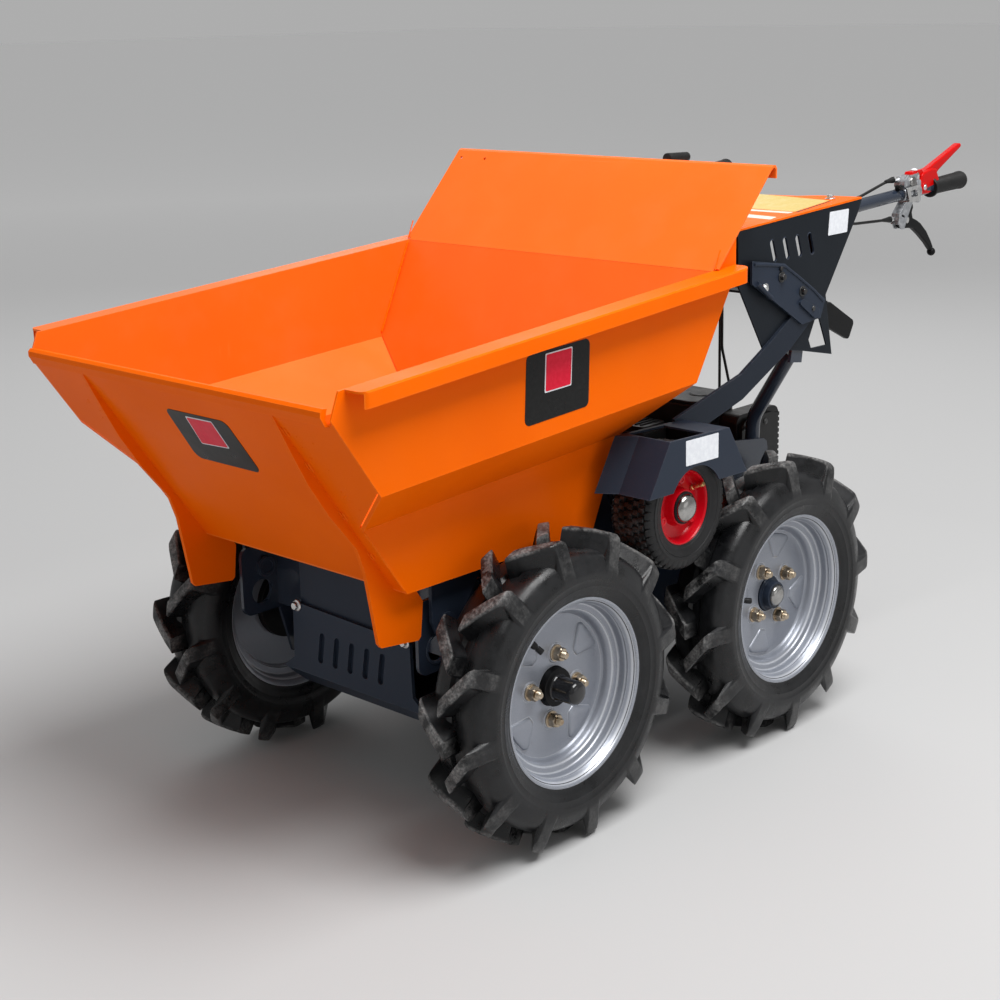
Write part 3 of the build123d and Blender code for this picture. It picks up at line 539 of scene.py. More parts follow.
def hex_nut(origin, axis, af, height, turn=0.0):
    """Hexagon with its corners chamfered at the top."""
    a, u, v = basis(axis)
    o = Vector(origin)
    ac = af / math.cos(math.pi / 6)
    rows = [(ac / 2, 0), (ac / 2, height - af * 0.09), (af / 2 * 0.96, height), (af * 0.30, height)]
    verts, faces = [], []
    n = 24
    for j, (r, d) in enumerate(rows):
        for k in range(n):
            t = turn + 2 * math.pi * k / n
            if j < 2:
                seg = (k % 4) / 4 * math.pi / 3
                rad = af / 2 / math.cos(seg - math.pi / 6)
            else:
                rad = r
            verts.append(o + a * (d / 1000) + (u * math.cos(t) + v * math.sin(t)) * (rad / 1000))
    for j in range(len(rows) - 1):
        for k in range(n):
            q = (k + 1) % n
            faces.append((j * n + k, j * n + q, (j + 1) * n + q, (j + 1) * n + k))
    faces.append(tuple(range(n))[::-1])
    faces.append(tuple(range(3 * n, 4 * n)))
    return verts, faces


def hex_bolt(shape, origin, axis, af=13.0, mat=None, washer=True, stud=0.0, turn=0.3):
    mat = mat or ZINC
    o = Vector(origin)
    a = Vector(axis).normalized()
    base = 0.0
    if washer:
        shape.add(lathe([(0, 0), (af * 0.88, 0), (af * 0.90, 0.4), (af * 0.90, 1.3), (af * 0.86, 1.7), (0, 1.7)], o, a, 28,
                        closed=False), mat)
        base = 1.6
    shape.add(hex_nut(o + a * (base / 1000), a, af, af * 0.55, turn), mat)
    if stud:
        top = base + af * 0.5
        r = af * 0.28
        prof = [(0, top - 1)]
        d = top - 1
        while d < top + stud:
            prof += [(r, d), (r * 0.9, d + 0.5)]
            d += 1.0
        prof += [(r * 0.8, d + 0.3), (0, d + 0.3)]
        shape.add(lathe(prof, o, a, 16, closed=False), mat)
    return shape


def dome_bolt(shape, origin, axis, r=7.0, mat=None, h=4.0):
    mat = mat or ZINC
    prof = [(0, 0), (r * 1.25, 0), (r * 1.28, 0.6), (r * 1.25, 1.2), (r, 1.3)]
    prof += [(r * math.cos(t), 1.3 + h * math.sin(t)) for t in [0.3, 0.6, 0.9, 1.2]] + [(0, 1.3 + h)]
    return shape.add(lathe(prof, origin, axis, 28, closed=False), mat)


def bead(points, r=2.2, step=2.6):
    """Weld bead: a run of overlapping ripples."""
    pts = [Vector(p) for p in points]
    out, rad = [], []
    for a, b in zip(pts, pts[1:]):
        n = max(2, int((b - a).length * 1000 / step))
        for j in range(n):
            out.append(a.lerp(b, j / n) + Vector([rng.uniform(-0.25, 0.25) / 1000 for _ in range(3)]))
            rad.append(r * (1.0 + 0.16 * (1 if j % 2 else -1) + rng.uniform(-0.08, 0.08)))
    out.append(pts[-1])
    rad.append(r * 0.6)
    rad[0] *= 0.6
    return tube(out, rad, 8)


def blob(centre, r, flat=1.0, normal=(0, 0, 1)):
    """Small bead of spatter or a plug, rounded all over."""
    prof = [(0, -r * flat)] + [(r * math.cos(t), r * flat * math.sin(t)) for t in (-1.1, -0.6, -0.1, 0.4, 0.9, 1.3)] + [(0, r * flat)]
    return lathe(prof, centre, normal, 12, closed=False)


SIDES = (("left", 1), ("right", -1))
Y = Vector((0, 1, 0))
X = Vector((1, 0, 0))
Z = Vector((0, 0, 1))


# ------------------------------------------------------------------ road wheels
TYRE_Y = 306.0
RIM_R = 142.0
LUGS = 12
# carcass between the lugs: |distance from the tyre's middle|, radius
CARCASS = [(0, 204.5), (7.0, 204.0), (9.5, 206.5), (12.0, 209.0), (20, 209.6), (30, 209.0), (38, 206.5), (44, 202),
           (48.5, 195), (52.0, 186), (54.0, 178), (53.2, 169), (51.6, 160), (49.2, 153), (45.5, 146), (44.0, 142.6),
           (41.0, 141.6), (39.0, 136)]
# the lugs' own top, over the same distance; 0 height past its ends
LUG_TOP = [(0, 237.0), (36, 237.0), (40, 236.4), (43.5, 232), (46.5, 224), (49.0, 213), (51.2, 201), (52.9, 190),
           (53.8, 182), (54.0, 178)]
SLANT = 1.17          # circumferential run per mm across the tread, in mm
LUG_HALF_TOP, LUG_HALF_FOOT = 12.5, 18.5


def lerp_table(t, x):
    if x <= t[0][0]:
        return t[0][1]
    for (a, va), (b, vb) in zip(t, t[1:]):
        if x <= b:
            return va + (vb - va) * (x - a) / (b - a) if b > a else vb
    return t[-1][1]


def smoothstep(a, b, x):
    t = max(0.0, min(1.0, (x - a) / (b - a)))
    return t * t * (3 - 2 * t)


def carcass_rows():
    """(distance from the middle, radius) from the tyre's middle over the tread and down the sidewall to the bead."""
    tread = [0, 2.2, 3.6, 5.5, 7.0, 8.2, 9.5, 10.8, 12.0, 15, 19, 23, 27, 31, 34.5, 37.5, 39.5, 41.2, 43, 44.6]
    half = [(w, lerp_table(CARCASS, w)) for w in tread]
    side_rows = [(46.6, 198.6), (48.5, 195), (50.2, 190.6), (51.6, 187), (52.9, 182.5), (53.8, 179), (54.0, 175),
                 (53.6, 171.5), (53.7, 170.0), (53.0, 168.8), (52.4, 165), (51.6, 160.5), (51.7, 159.3), (50.8, 158.0),
                 (49.2, 153), (47.6, 149.2), (45.5, 146), (44.4, 144.0), (44.0, 142.0), (41.5, 140.6), (39.0, 135.0)]
    half += side_rows
    return half


def tyre_mesh(name, wheel_x, sign, body, phase):
    """Skin made of two halves, outboard and inboard, each with its own lugs, meeting along the tyre's middle."""
    pitch = 2 * math.pi * 237 / LUGS
    ht, hf = LUG_HALF_TOP, LUG_HALF_FOOT
    flank = [-hf - 2.5, -hf, -17.0, -15.2, -13.6, -ht - 0.4, -ht + 0.7, -8.5, -3]
    stops = flank + [-s for s in flank[::-1]]
    gap = pitch - 2 * (hf + 2.5)
    stops += [hf + 2.5 + gap * k / 7 for k in range(1, 7)]
    n = len(stops)
    half = carcass_rows()
    shape_v, shape_f, wear = [], [], []
    centre = P(wheel_x, sign * TYRE_Y, 0)
    for out in (1, -1):
        start = len(shape_v)
        offset = math.radians(phase) + (0 if out > 0 else math.pi / LUGS)
        # the half's two innermost rows reach 3.4 and 3.2 mm past the middle all round; the first lies flat, the second
        # already carries the lugs
        rows = [(-3.4, 204.5, True), (-3.2, 204.5, False)] + [(w, r, False) for w, r in half]
        for j, (w, r, first) in enumerate(rows):
            for lug in range(LUGS):
                for s in stops:
                    d = abs(s)
                    grow = max(0.0, min(1.0, (hf - d) / (hf - ht)))
                    top = lerp_table(LUG_TOP, abs(w))
                    h = max(0.0, top - r) * grow if r > 177 else 0.0
                    if first:
                        h = 0.0
                    shear = SLANT * (min(w, 43.0) - 38.0)
                    a = offset + (lug * pitch + s + shear) / 237.0
                    rad = r + h
                    if j <= 1 and h == 0.0:
                        rad = 203.4
                    y = out * w
                    # worn and slightly rounded at the lug's own edges
                    if h > 20 and d > ht - 2:
                        rad -= 0.5
                    wobble = 0.35 * math.sin(a * 7 + w * 0.11) + 0.25 * math.sin(a * 19 + w * 0.3)
                    if h > 5:
                        rad = min(237.0, rad - 0.3 + wobble * 0.5)
                    shape_v.append(centre + Vector((math.cos(a) * rad, sign * y, math.sin(a) * rad)) / 1000)
                    flat = 1.0 if (d <= ht + 0.6 and h > 4) else 0.0
                    shoulder = 1.0 - smoothstep(40, 47, abs(w))
                    wear.append(flat * shoulder + (0.25 if (abs(w) > 44 and flat) else 0.0))
        total = n * LUGS
        for j in range(len(rows) - 1):
            for k in range(total):
                q = (k + 1) % total
                f = (start + j * total + k, start + j * total + q, start + (j + 1) * total + q, start + (j + 1) * total + k)
                shape_f.append(f if out * sign > 0 else f[::-1])
    s = Shape()
    s.add((shape_v, shape_f), TYRE)
    return s.make(name, body, "tyre", smooth=38, replaces=(name[:-5],), attribute=("wear", wear), fix=False)


# turned rim section, outboard to inboard: (radius, distance from the tyre's middle), both skins
RIM_FACE = [(137.6, 41.4), (135.4, 38.6), (133.2, 34.5), (131.2, 30.5), (129.6, 27.0), (128.6, 22.5), (128.0, 18.5),
            (127.0, 15.6), (124.6, 13.4), (121.0, 12.6), (117.0, 11.6), (113.6, 9.2), (111.6, 5.4), (110.6, 1.0),
            (109.8, -0.6), (107.8, -2.6), (103.8, -3.4), (98.0, -3.5)]


def rim_form(x, sign, dimples=True):
    """Pressed disc wheel seen from both sides."""
    c = P(x, sign * TYRE_Y, 0)
    axis = Y * sign
    face = list(RIM_FACE)
    disc = [(92.0, -3.5), (84.0, -3.3), (76.0, -3.0), (70.0, -3.0), (62.0, -2.6), (55.0, -2.6), (44.0, -2.6), (34.0, -2.6),
            (30.5, -2.6), (30.5, -7.5)]
    back = [(44.0, -7.5), (98.0, -7.5), (106.0, -7.4), (111.4, -7.6), (113.4, -12.5), (116.8, -16.8), (121.4, -17.8),
            (125.2, -19.0), (127.2, -21.6), (128.2, -26.0), (129.4, -30.0), (131.4, -33.4), (133.4, -37.0),
            (135.6, -40.4), (138.4, -42.8), (141.4, -43.8), (142.2, -42.4), (141.4, -40.4), (137.2, -37.6), (130.2, -33.4),
            (129.6, -22.0), (126.0, -19.8), (116.4, -18.4), (114.2, -13.0)]
    outside = [(114.6, 8.0), (119.0, 13.4), (127.4, 15.6), (129.6, 22.0), (130.2, 31.4), (136.8, 40.2)]
    profile = [(136.9, 42.9), (139.4, 44.3), (141.6, 44.0), (142.4, 42.4), (141.2, 40.6)] + outside[::-1] + back[::-1] + \
        disc[::-1] + face[::-1]
    return lathe(profile, c, axis, 96)


def press_panels(s, x, sign, angles, mat):
    """Four raised triangular pressings between the studs, eased at their edges."""
    c = P(x, sign * TYRE_Y, 0)
    for a in angles:
        t = math.radians(a)
        u = Vector((math.cos(t), 0, math.sin(t)))
        v = Vector((-math.sin(t), 0, math.cos(t)))
        base = rounded([(60, -7), (60, 7), (95, 31), (101, 24), (103, 0), (101, -24), (95, -31)], [5, 5, 9, 6, 60, 6, 9], 4)
        rows = [(1.0, -3.9), (0.965, -2.0), (0.90, -0.4), (0.80, 0.4), (0.4, 0.6)]
        cx = sum(p[0] for p in base) / len(base)
        verts, faces, n = [], [], len(base)
        for k, h in rows:
            for p, q in base:
                pu, pv = cx + (p - cx) * k, q * k
                verts.append(c + (u * pu + v * pv) / 1000 + Y * sign * (h / 1000))
        for j in range(len(rows) - 1):
            for i in range(n):
                q = (i + 1) % n
                faces.append((j * n + i, j * n + q, (j + 1) * n + q, (j + 1) * n + i))
        faces.append(tuple(range((len(rows) - 1) * n, len(rows) * n)))
        faces.append(tuple(range(n))[::-1])
        s.add((verts, faces), mat)




def make_rim(end, tag, sign, x, nuts, valve):
    """Pressed wheel with nuts and valve."""
    name = f"rim_{end}_{tag}"
    body = f"wheel_{end}_{tag}"
    c = P(x, sign * TYRE_Y, 0)
    s = Shape()
    s.add(rim_form(x, sign), SILVER)
    press_panels(s, x, sign, [a + 45 for a in nuts], SILVER)
    for a in nuts:
        t = math.radians(a)
        p = c + Vector((math.cos(t) * 50, sign * -3.2, math.sin(t) * 50)) / 1000
        s.add(lathe([(0, 0), (15.5, 0), (15.5, 1.0), (14.5, 1.8), (0, 1.8)], p, Y * sign, 32, closed=False), SILVER)
        s.add(lathe([(0, 1.6), (12.6, 1.6), (12.8, 2.0), (12.6, 3.6), (11.6, 4.0), (0, 4.0)], p, Y * sign, 32, closed=False), BRASS)
        s.add(hex_nut(p + Y * sign * 0.0038, Y * sign, 19.0, 12.0, t * 3 + 0.4), BRASS)
        prof = [(0, 12)]
        d = 13.0
        while d < 21.5:
            prof += [(5.9, d), (5.3, d + 0.6)]
            d += 1.2
        prof += [(4.6, d + 0.4), (0, d + 0.4)]
        s.add(lathe(prof, p, Y * sign, 20, closed=False), BRASS)
    # valve: rubber stem and cap leaning out of the well
    t = math.radians(valve)
    u = Vector((math.cos(t), 0, math.sin(t)))
    p = c + u * 0.1125 + Y * sign * 0.0050
    axis = (Y * sign * 0.62 - u * 0.78).normalized()
    s.add(lathe([(0, -3), (9.2, -2), (9.4, 0.5), (7.6, 2.2), (5.9, 5), (5.4, 16), (4.8, 18), (4.8, 19), (0, 19)], p, axis, 24,
                closed=False), BLACK_PLASTIC)
    s.add(lathe([(0, 18.5), (3.6, 18.5), (3.6, 21), (4.7, 21.2), (4.9, 29.5), (4.3, 31), (0, 31)], p, axis, 20, closed=False),
          BLACK_PLASTIC)
    return s.make(name + "_visual", body, "wheel_silver", smooth=30, replaces=(name,))


def make_hub(end, tag, sign, x):
    name = f"hub_{end}_{tag}"
    body = f"wheel_{end}_{tag}"
    c = P(x, 0, 0)
    axis = Y * sign
    s = Shape()
    if end == "front":
        hub = [(13.2, 286.2), (61.2, 286.2), (62, 287), (62, 297.6), (61.2, 298.3), (30.2, 298.3), (29.4, 297.6),
               (29.2, 311.5), (28.4, 313.6), (26.0, 314.4), (20.6, 314.4), (20.2, 314.9), (13.2, 314.9)]
        s.add(lathe(hub, c, axis, 64), SATIN_BLACK)
        cap = [(0, 316.0), (13.2, 316.0), (13.2, 313.8), (20.0, 313.8), (20.2, 315.6), (18.6, 317.0), (18.0, 318.5), (18.0, 346.0), (17.6, 349.4),
               (16.2, 352.2), (13.8, 354.3), (10.6, 355.5), (7.0, 356.0), (0, 356.1)]
        s.add(lathe(cap, c, axis, 56, closed=False), GLOSS_BLACK)
    else:
        hub = [(13.2, 286.2), (61.2, 286.2), (62, 287), (62, 297.6), (61.2, 298.3), (30.2, 298.3), (29.4, 297.6),
               (29.0, 305.4), (28.0, 306.6), (23.8, 306.8), (23.2, 307.4), (23.0, 317.0), (22.0, 319.0), (19.0, 319.4),
               (13.2, 319.4)]
        s.add(lathe(hub, c, axis, 64), SLATE)
        cap = [(0, 318.4), (17.6, 318.4), (17.8, 320.6), (17.4, 322.2), (16.2, 324.0), (13.8, 325.6), (10.6, 326.7),
               (6.4, 327.3), (0, 327.6)]
        s.add(lathe(cap, c, axis, 48, closed=False), CHROME)
        s.add(lathe([(17.9, 318.8), (18.9, 319.0), (18.8, 320.4), (17.9, 320.8)], c, axis, 48), STEEL_DARK)
    return s.make(name + "_visual", body, "black_metal", smooth=32, replaces=(name,))


NUTS_FRONT, NUTS_REAR = [97, 6, -83, 187], [60, 149, 240, 329]
for end, x, nuts in (("front", 0.0, NUTS_FRONT), ("rear", -WHEELBASE, NUTS_REAR)):
    for tag, sign in SIDES:
        ph = (20.8 if end == "front" else 26.0) if sign > 0 else (7.0 if end == "front" else 13.0)
        tyre_mesh(f"tyre_{end}_{tag}_skin", x, sign, f"wheel_{end}_{tag}", ph)
        make_rim(end, tag, sign, x, [n + (0 if sign > 0 else 31) for n in nuts],
                 (55 if end == "front" else 10) if sign > 0 else 20)
        make_hub(end, tag, sign, x)

# ------------------------------------------------------------------ friction wheels
FW_X, FW_Z, FW_Y = -272.0, 214.0, 301.0


def friction_wheel(tag, sign):
    body = f"friction_wheel_{tag}"
    c = P(FW_X, sign * FW_Y, FW_Z)
    axis = Y * sign
    # tread: staggered diamond blocks on a round-shouldered carcass
    verts, faces, wear = [], [], []
    blocks, per = 44, 6
    rows = [-38.5, -36.5, -34.0, -31.0, -29.2, -28.4, -27.6, -19.6, -18.8, -18.0, -17.2, -9.8, -9.0, -8.2, -7.4, 0.0]
    ws = rows + [-w for w in rows[-2::-1]]
    base = [(-38, 82), (-36.5, 91), (-34, 94.2), (-31, 96.4), (-27, 97.4), (0, 98.4)]
    n = blocks * per
    for w in ws:
        r0 = lerp_table(base, -abs(w)) - 3.4
        rib = 0 if abs(w) < 8.6 else 1 if abs(w) < 18.4 else 2 if abs(w) < 28.8 else 3
        centre_w = [0, 13.4, 23.4, 33.5][rib]
        on_rib = abs(abs(w) - centre_w) < [7.9, 4.9, 4.9, 3.4][rib]
        for k in range(n):
            phase = (k % per) / per
            shift = 0.5 if rib % 2 else 0.0
            skew = 0.34 * (w / 30.0)
            p = (phase + shift + skew) % 1.0
            block = p < 0.72
            h = 3.4 if (on_rib and block) else 0.0
            if abs(w) > 37:
                h = 0
            a = 2 * math.pi * k / n
            r = min(100.9, r0 + h)
            verts.append(c + Vector((math.cos(a) * r, sign * w, math.sin(a) * r)) / 1000)
            # grey on the blocks' tops: partly worn rubber, partly a painted highlight on the tread that lies in the
            # guard's shade
            wear.append(0.45 if h > 1 and abs(w) < 30 else 0.0)
    for j in range(len(ws) - 1):
        for k in range(n):
            q = (k + 1) % n
            f = (j * n + k, j * n + q, (j + 1) * n + q, (j + 1) * n + k)
            faces.append(f if sign > 0 else f[::-1])
    s = Shape()
    s.add((verts, faces), FRICTION)
    # sidewalls, both sides
    for out in (1, -1):
        prof = [(80.5, 38.4), (81.8, 38.5), (80.4, 38.9), (79.2, 38.6), (76.0, 38.2), (75.4, 37.5), (74.6, 38.1), (70, 37.0), (66.4, 35.0),
                (63.6, 33.9), (61.5, 33.9), (60.6, 33.0), (58.8, 32.4), (57.6, 30.4)]
        sv, sf = lathe([(r, d * out) for r, d in prof], c, axis, 96, closed=False)
        s.add((sv, sf if out < 0 else [f[::-1] for f in sf]), FRICTION)
        wear += [0.0] * len(sv)
    ob = s.make(f"friction_tyre_{tag}_visual", body, "tyre", smooth=34, replaces=(f"friction_tyre_{tag}",),
                attribute=("wear", wear), fix=False)
    # moulded rim with bosses and the retaining cap
    s = Shape()
    rim = [(55.2, -29.6), (57.2, -30.6), (58.4, -29.6), (58.4, 30.0), (57.8, 31.2), (56.2, 31.6), (55.2, 30.6), (54.2, 28.0),
           (53.0, 22.0), (51.8, 17.6), (49.4, 15.0), (46.0, 14.2), (34.5, 14.2), (31.0, 15.2), (29.0, 18.0), (27.6, 24.0),
           (27.4, 29.2), (26.8, 30.2), (25.0, 30.4), (10.4, 30.4), (10.4, 4.0), (27.0, 4.0), (30.0, 7.4), (47.0, 8.0),
           (51.0, 6.0), (52.6, 0), (54.0, -14.0)]
    s.add(lathe(rim, c, axis, 80), RED)
    for a in (-142, -22, 98):
        t = math.radians(a)
        p = c + Vector((math.cos(t) * 41.5, sign * 13.6, math.sin(t) * 41.5)) / 1000
        s.add(lathe([(0, 0), (7.6, 0), (7.4, 7.0), (6.4, 8.6), (3.6, 8.8), (3.2, 7.8), (0, 7.6)], p, axis, 28, closed=False), RED)
    # thin black collar at the dome's foot: a dark ring painted where the cap's shadow falls
    s.add(lathe([(21.0, 29.8), (24.6, 29.8), (25.4, 30.8), (25.2, 32.4), (24.4, 33.2), (22.0, 33.4), (21.0, 32.6)], c, axis, 56),
          SATIN_BLACK)
    dome = [(0, 32.6), (22.0, 32.6), (22.2, 34.2), (21.6, 36.4), (20.4, 38.6), (18.2, 40.8), (15.0, 42.8), (11.0, 44.2),
            (6.0, 45.0), (0, 45.3)]
    s.add(lathe(dome, c, axis, 56, closed=False), CHROME)
    t = math.radians(152)
    u = Vector((math.cos(t), 0, math.sin(t)))
    p = c + u * 0.0440 + axis * 0.0150
    va = (axis * 0.88 + u * 0.16 + Vector((0, 0, 0.3))).normalized()
    s.add(lathe([(0, -1), (4.6, -1), (4.4, 2.5), (3.2, 3.4), (3.1, 15), (2.9, 15.4), (3.9, 15.6), (3.9, 22), (3.4, 23), (0, 23)],
                p, va, 18, closed=False), GOLD)
    s.make(f"friction_rim_{tag}_visual", body, "red_plastic", smooth=32, replaces=(f"friction_rim_{tag}",))


for tag, sign in SIDES:
    friction_wheel(tag, sign)


# ------------------------------------------------------------------ handlebars and their controls
BAR_A, BAR_B = Vector((-1000, 254.5, 617)), Vector((-1182, 264, 627))
BAR_DIR = (BAR_B - BAR_A).normalized()


def bar_point(x, sign, up=0.0, out=0.0):
    t = (x - BAR_A.x) / (BAR_B.x - BAR_A.x)
    p = BAR_A.lerp(BAR_B, t)
    return P(p.x, sign * (p.y + out), p.z + up)


def bar_axis(sign):
    return Vector((BAR_DIR.x, sign * BAR_DIR.y, BAR_DIR.z))


def slab(outline_xz, y, thick, sign, r=2.0):
    """Plate of a side-view outline centred on y, corners rounded."""
    pts = rounded(outline_xz, r, 4) if r else outline_xz
    return prism(pts, lambda u, v, w: P(u, sign * (y - thick / 2 + w), v), thick)


LEVER_OUT = [(-1023, 598), (-1025, 591), (-1021, 583), (-1025, 572.5), (-1040, 567), (-1053, 560.6), (-1074.5, 544.2),
             (-1091, 526), (-1101, 512), (-1095, 506), (-1076.5, 522), (-1050, 540.4), (-1029, 552.8), (-1014, 555.6),
             (-990, 556.8), (-986, 561), (-996, 569), (-1004.3, 588), (-1013, 599)]


for tag, sign in SIDES:
    axis = bar_axis(sign)
    # grip: flared rubber sleeve with fine ribs, an inner flange and a rounded end
    s = Shape()
    o = bar_point(-1186, sign)
    prof = [(11.2, -104), (17.2, -104), (18.4, -102.6), (18.4, -99.6), (17.0, -98.0), (15.0, -96.4)]
    d = -95.0
    while d < -10:
        f = (d + 95) / 85
        r = 14.6 + 1.7 * max(0.0, f - 0.25) ** 1.6
        prof += [(r, d), (r, d + 1.7), (r - 0.45, d + 2.1), (r - 0.45, d + 2.8)]
        d += 3.3
    prof += [(16.4, -8), (16.3, -5), (15.7, -2.4), (14.0, -0.8), (11.0, -0.1), (3.0, 0.0), (2.6, -0.7), (0, -0.8)]
    verts, faces = lathe(prof, o, axis, 48, closed=False)
    s.add((verts, faces), GRIP)
    s.make(f"grip_{tag}_visual", "chassis", "black_rubber", smooth=40, replaces=(f"grip_{tag}",))

    # die-cast clamp round the bar with its cap and screws, the sheet clip and the lever's bracket
    s = Shape()
    o = bar_point(-1014, sign)
    s.add(lathe([(11.2, -24), (13.4, -24), (14.2, -23), (14.2, -12), (11.9, -11), (11.9, 8), (14.2, 9), (14.2, 26), (13.4, 27),
                 (11.2, 27)], o, axis, 40), ALLOY)
    s.add(slab([(-984, 628), (-986, 641), (-994, 648), (-1024, 651), (-1034, 648), (-1036, 634), (-1034, 629)], 256, 21, sign, 5),
          ALLOY)
    s.add(slab([(-1022, 600), (-1022, 640), (-1036, 640), (-1037, 600)], 256, 27, sign, 5), ALLOY)
    cap = P(-1014, sign * 267.6, 636)
    s.add(lathe([(0, -4), (10.8, -4), (10.8, -0.6), (10.2, 0.4), (8.6, 1.6), (5.6, 2.6), (0, 3.0)], cap, Y * sign, 36, closed=False),
          CHROME)
    for x, z in ((-1002, 645.5), (-1032, 647.5)):
        s.add(lathe([(0, -6), (5.6, -6), (5.6, 0), (5.2, 1.0), (3.8, 1.4), (0, 1.2)], P(x, sign * 262, z), Z, 24, closed=False), ZINC)
        s.add(lathe([(0, 3.6), (2.6, 3.5), (4.0, 2.6), (4.6, 1.2), (4.6, 0), (0, 0)], P(x, sign * 262, z + 1.2), Z, 24, closed=False),
              CHROME)
    # knob of the cable stop
    s.add(lathe([(0, -5), (4.6, -5), (4.8, -4), (4.8, 4), (4.2, 5), (0, 5)], P(-973.5, sign * 262, 630), Y * sign, 24, closed=False),
          SATIN_BLACK)
    s.add(tube([P(-974, sign * 260, 630), P(-988, sign * 260, 632)], 3.2, 12), SATIN_BLACK)
    # bent clip with a square hole, standing off the bar's outer side
    clip = rounded([(-982, 629), (-1027, 632), (-1029, 606), (-993, 607)], 3, 4)
    hole = rounded([(-996, 623), (-1019, 625), (-1021, 612), (-1000, 612)], 1.5, 3)
    s.add(prism(clip, lambda u, v, w, s2=sign: P(u, s2 * (270.6 + w), v), 2.4, holes=[hole]), ZINC)
    s.add(prism(rounded([(-993, 603), (-1029, 602), (-1029, 607.6), (-993, 608.4)], 1.5, 3),
                lambda u, v, w, s2=sign: P(u, s2 * (249 + w), v), 23.8), ZINC)
    # drop bracket, a zinc strip with a slot, folded round the lever
    strip = rounded([(-1000, 606), (-1019, 604), (-1003, 578), (-992, 556), (-982, 556.5), (-973, 568), (-976, 584)], 2.5, 4)
    slot_hole = rounded([(-982, 583.5), (-993, 579), (-991.5, 575.5), (-980.5, 580)], 1.5, 3)
    for y in (250.3, 263.5):
        s.add(prism(strip, lambda u, v, w, s2=sign, yy=y: P(u, s2 * (yy + w), v), 2.2, holes=[slot_hole]), ALLOY)
    s.add(prism(rounded([(-973, 566), (-976, 583), (-1000, 606), (-996, 606), (-973.4, 585), (-970.6, 566)], 1, 3),
                lambda u, v, w, s2=sign: P(u, s2 * (250.3 + w), v), 15.4), ALLOY)
    # cable adjusters: threaded barrel, lock nut and a conical boot on each cable
    for tip, along, nut in ((P(-982, sign * 247, 643), Vector((0.985, sign * -0.14, -0.10)), 4.6),
                            (P(-972, sign * 250.2, 574.2), Vector((0.995, sign * -0.10, 0.02)), 5.0)):
        a = along.normalized()
        s.add(lathe([(0, -9), (4.4, -9), (4.4, -3), (3.4, -2.6), (3.4, 3.6), (0, 3.6)], tip, a, 24, closed=False), ZINC)
        s.add(hex_nut(tip - a * 0.0022, a, nut * 2.1, 4.4, 0.2), ZINC)
        s.add(lathe([(2.4, 3), (5.4, 3), (5.7, 4.0), (5.5, 6.0), (4.4, 12), (3.5, 19), (2.9, 24), (2.5, 24)], tip, a, 24), BLACK_PLASTIC)
    s.make(f"lever_clamp_{tag}", "chassis", "alloy", smooth=34, bevel=0.5, replaces=("lever_perches",) if sign > 0 else ())

    # hand lever with its ball end
    s = Shape()
    s.add(slab(LEVER_OUT, 258, 10.4, sign, 3.5), SATIN_BLACK)
    s.make(f"hand_lever_{tag}", "chassis", "black_plastic", smooth=40, bevel=2.6, segments=4, limit=50,
           replaces=("hand_levers",) if sign > 0 else ())
    s = Shape()
    s.add(blob(P(-1102, sign * 258, 503.5), 7.4, 1.0, (0, 1, 0)), SATIN_BLACK)
    ball = lathe([(0, -7.6)] + [(7.6 * math.sin(t), -7.6 * math.cos(t)) for t in [k * math.pi / 12 for k in range(1, 12)]] + [(0, 7.6)],
                 P(-1102, sign * 258, 503.5), (0, 1, 0), 28, closed=False)
    s = Shape().add(ball, SATIN_BLACK)
    s.add(lathe([(0, -6.6), (5.8, -6.6), (5.9, -5.6), (5.9, 5.6), (5.8, 6.6), (0, 6.6)], P(-1003, sign * 258, 571), Y * sign, 24,
                closed=False), ZINC)
    s.make(f"lever_ball_{tag}", "chassis", "black_plastic", smooth=45)

# red locking lever on the left bar
s = Shape()
s.add(slab([(-1038, 613), (-1038, 634), (-1043, 648), (-1052, 652), (-1076, 656), (-1092, 655), (-1094, 648.7), (-1099, 641),
                          (-1103, 634), (-1101, 627), (-1086, 617), (-1068, 612)], 257, 23, 1, 7), RED_LEVER)
s.make("locking_lever_body", "chassis", "red_plastic", smooth=40, bevel=3.2, segments=4, limit=45, replaces=("locking_lever",))
s = Shape()
s.add(slab([(-1048, 645), (-1053, 651.4), (-1076, 658.5), (-1174.7, 692.4), (-1181, 693.4), (-1184.5, 690.6), (-1183, 686.2),
            (-1108, 651), (-1092, 640), (-1070, 636)], 257, 13, 1, 3.4), RED_LEVER)
s.make("locking_lever_arm", "chassis", "red_plastic", smooth=40, bevel=2.4, segments=4, limit=45)
s = Shape()
s.add(slab([(-1010, 648), (-1014, 654.4), (-1046, 656), (-1052, 650), (-1046, 645)], 257, 15, 1, 2.0), RED_LEVER)
dome_bolt(s, P(-1032, 257, 655.6), Z, 4.8, WHITE_LABEL, 2.4)
dome_bolt(s, P(-1051, 268.6, 625), Y, 4.6, ZINC, 2.6)
s.add(lathe([(0, 0), (8.4, 0), (8.4, 1.0), (7.6, 1.6), (0, 1.6)], P(-1051, 268.2, 625), Y, 28, closed=False), RED_LEVER)
s.make("locking_lever_mount", "chassis", "red_plastic", smooth=38, bevel=0.8)

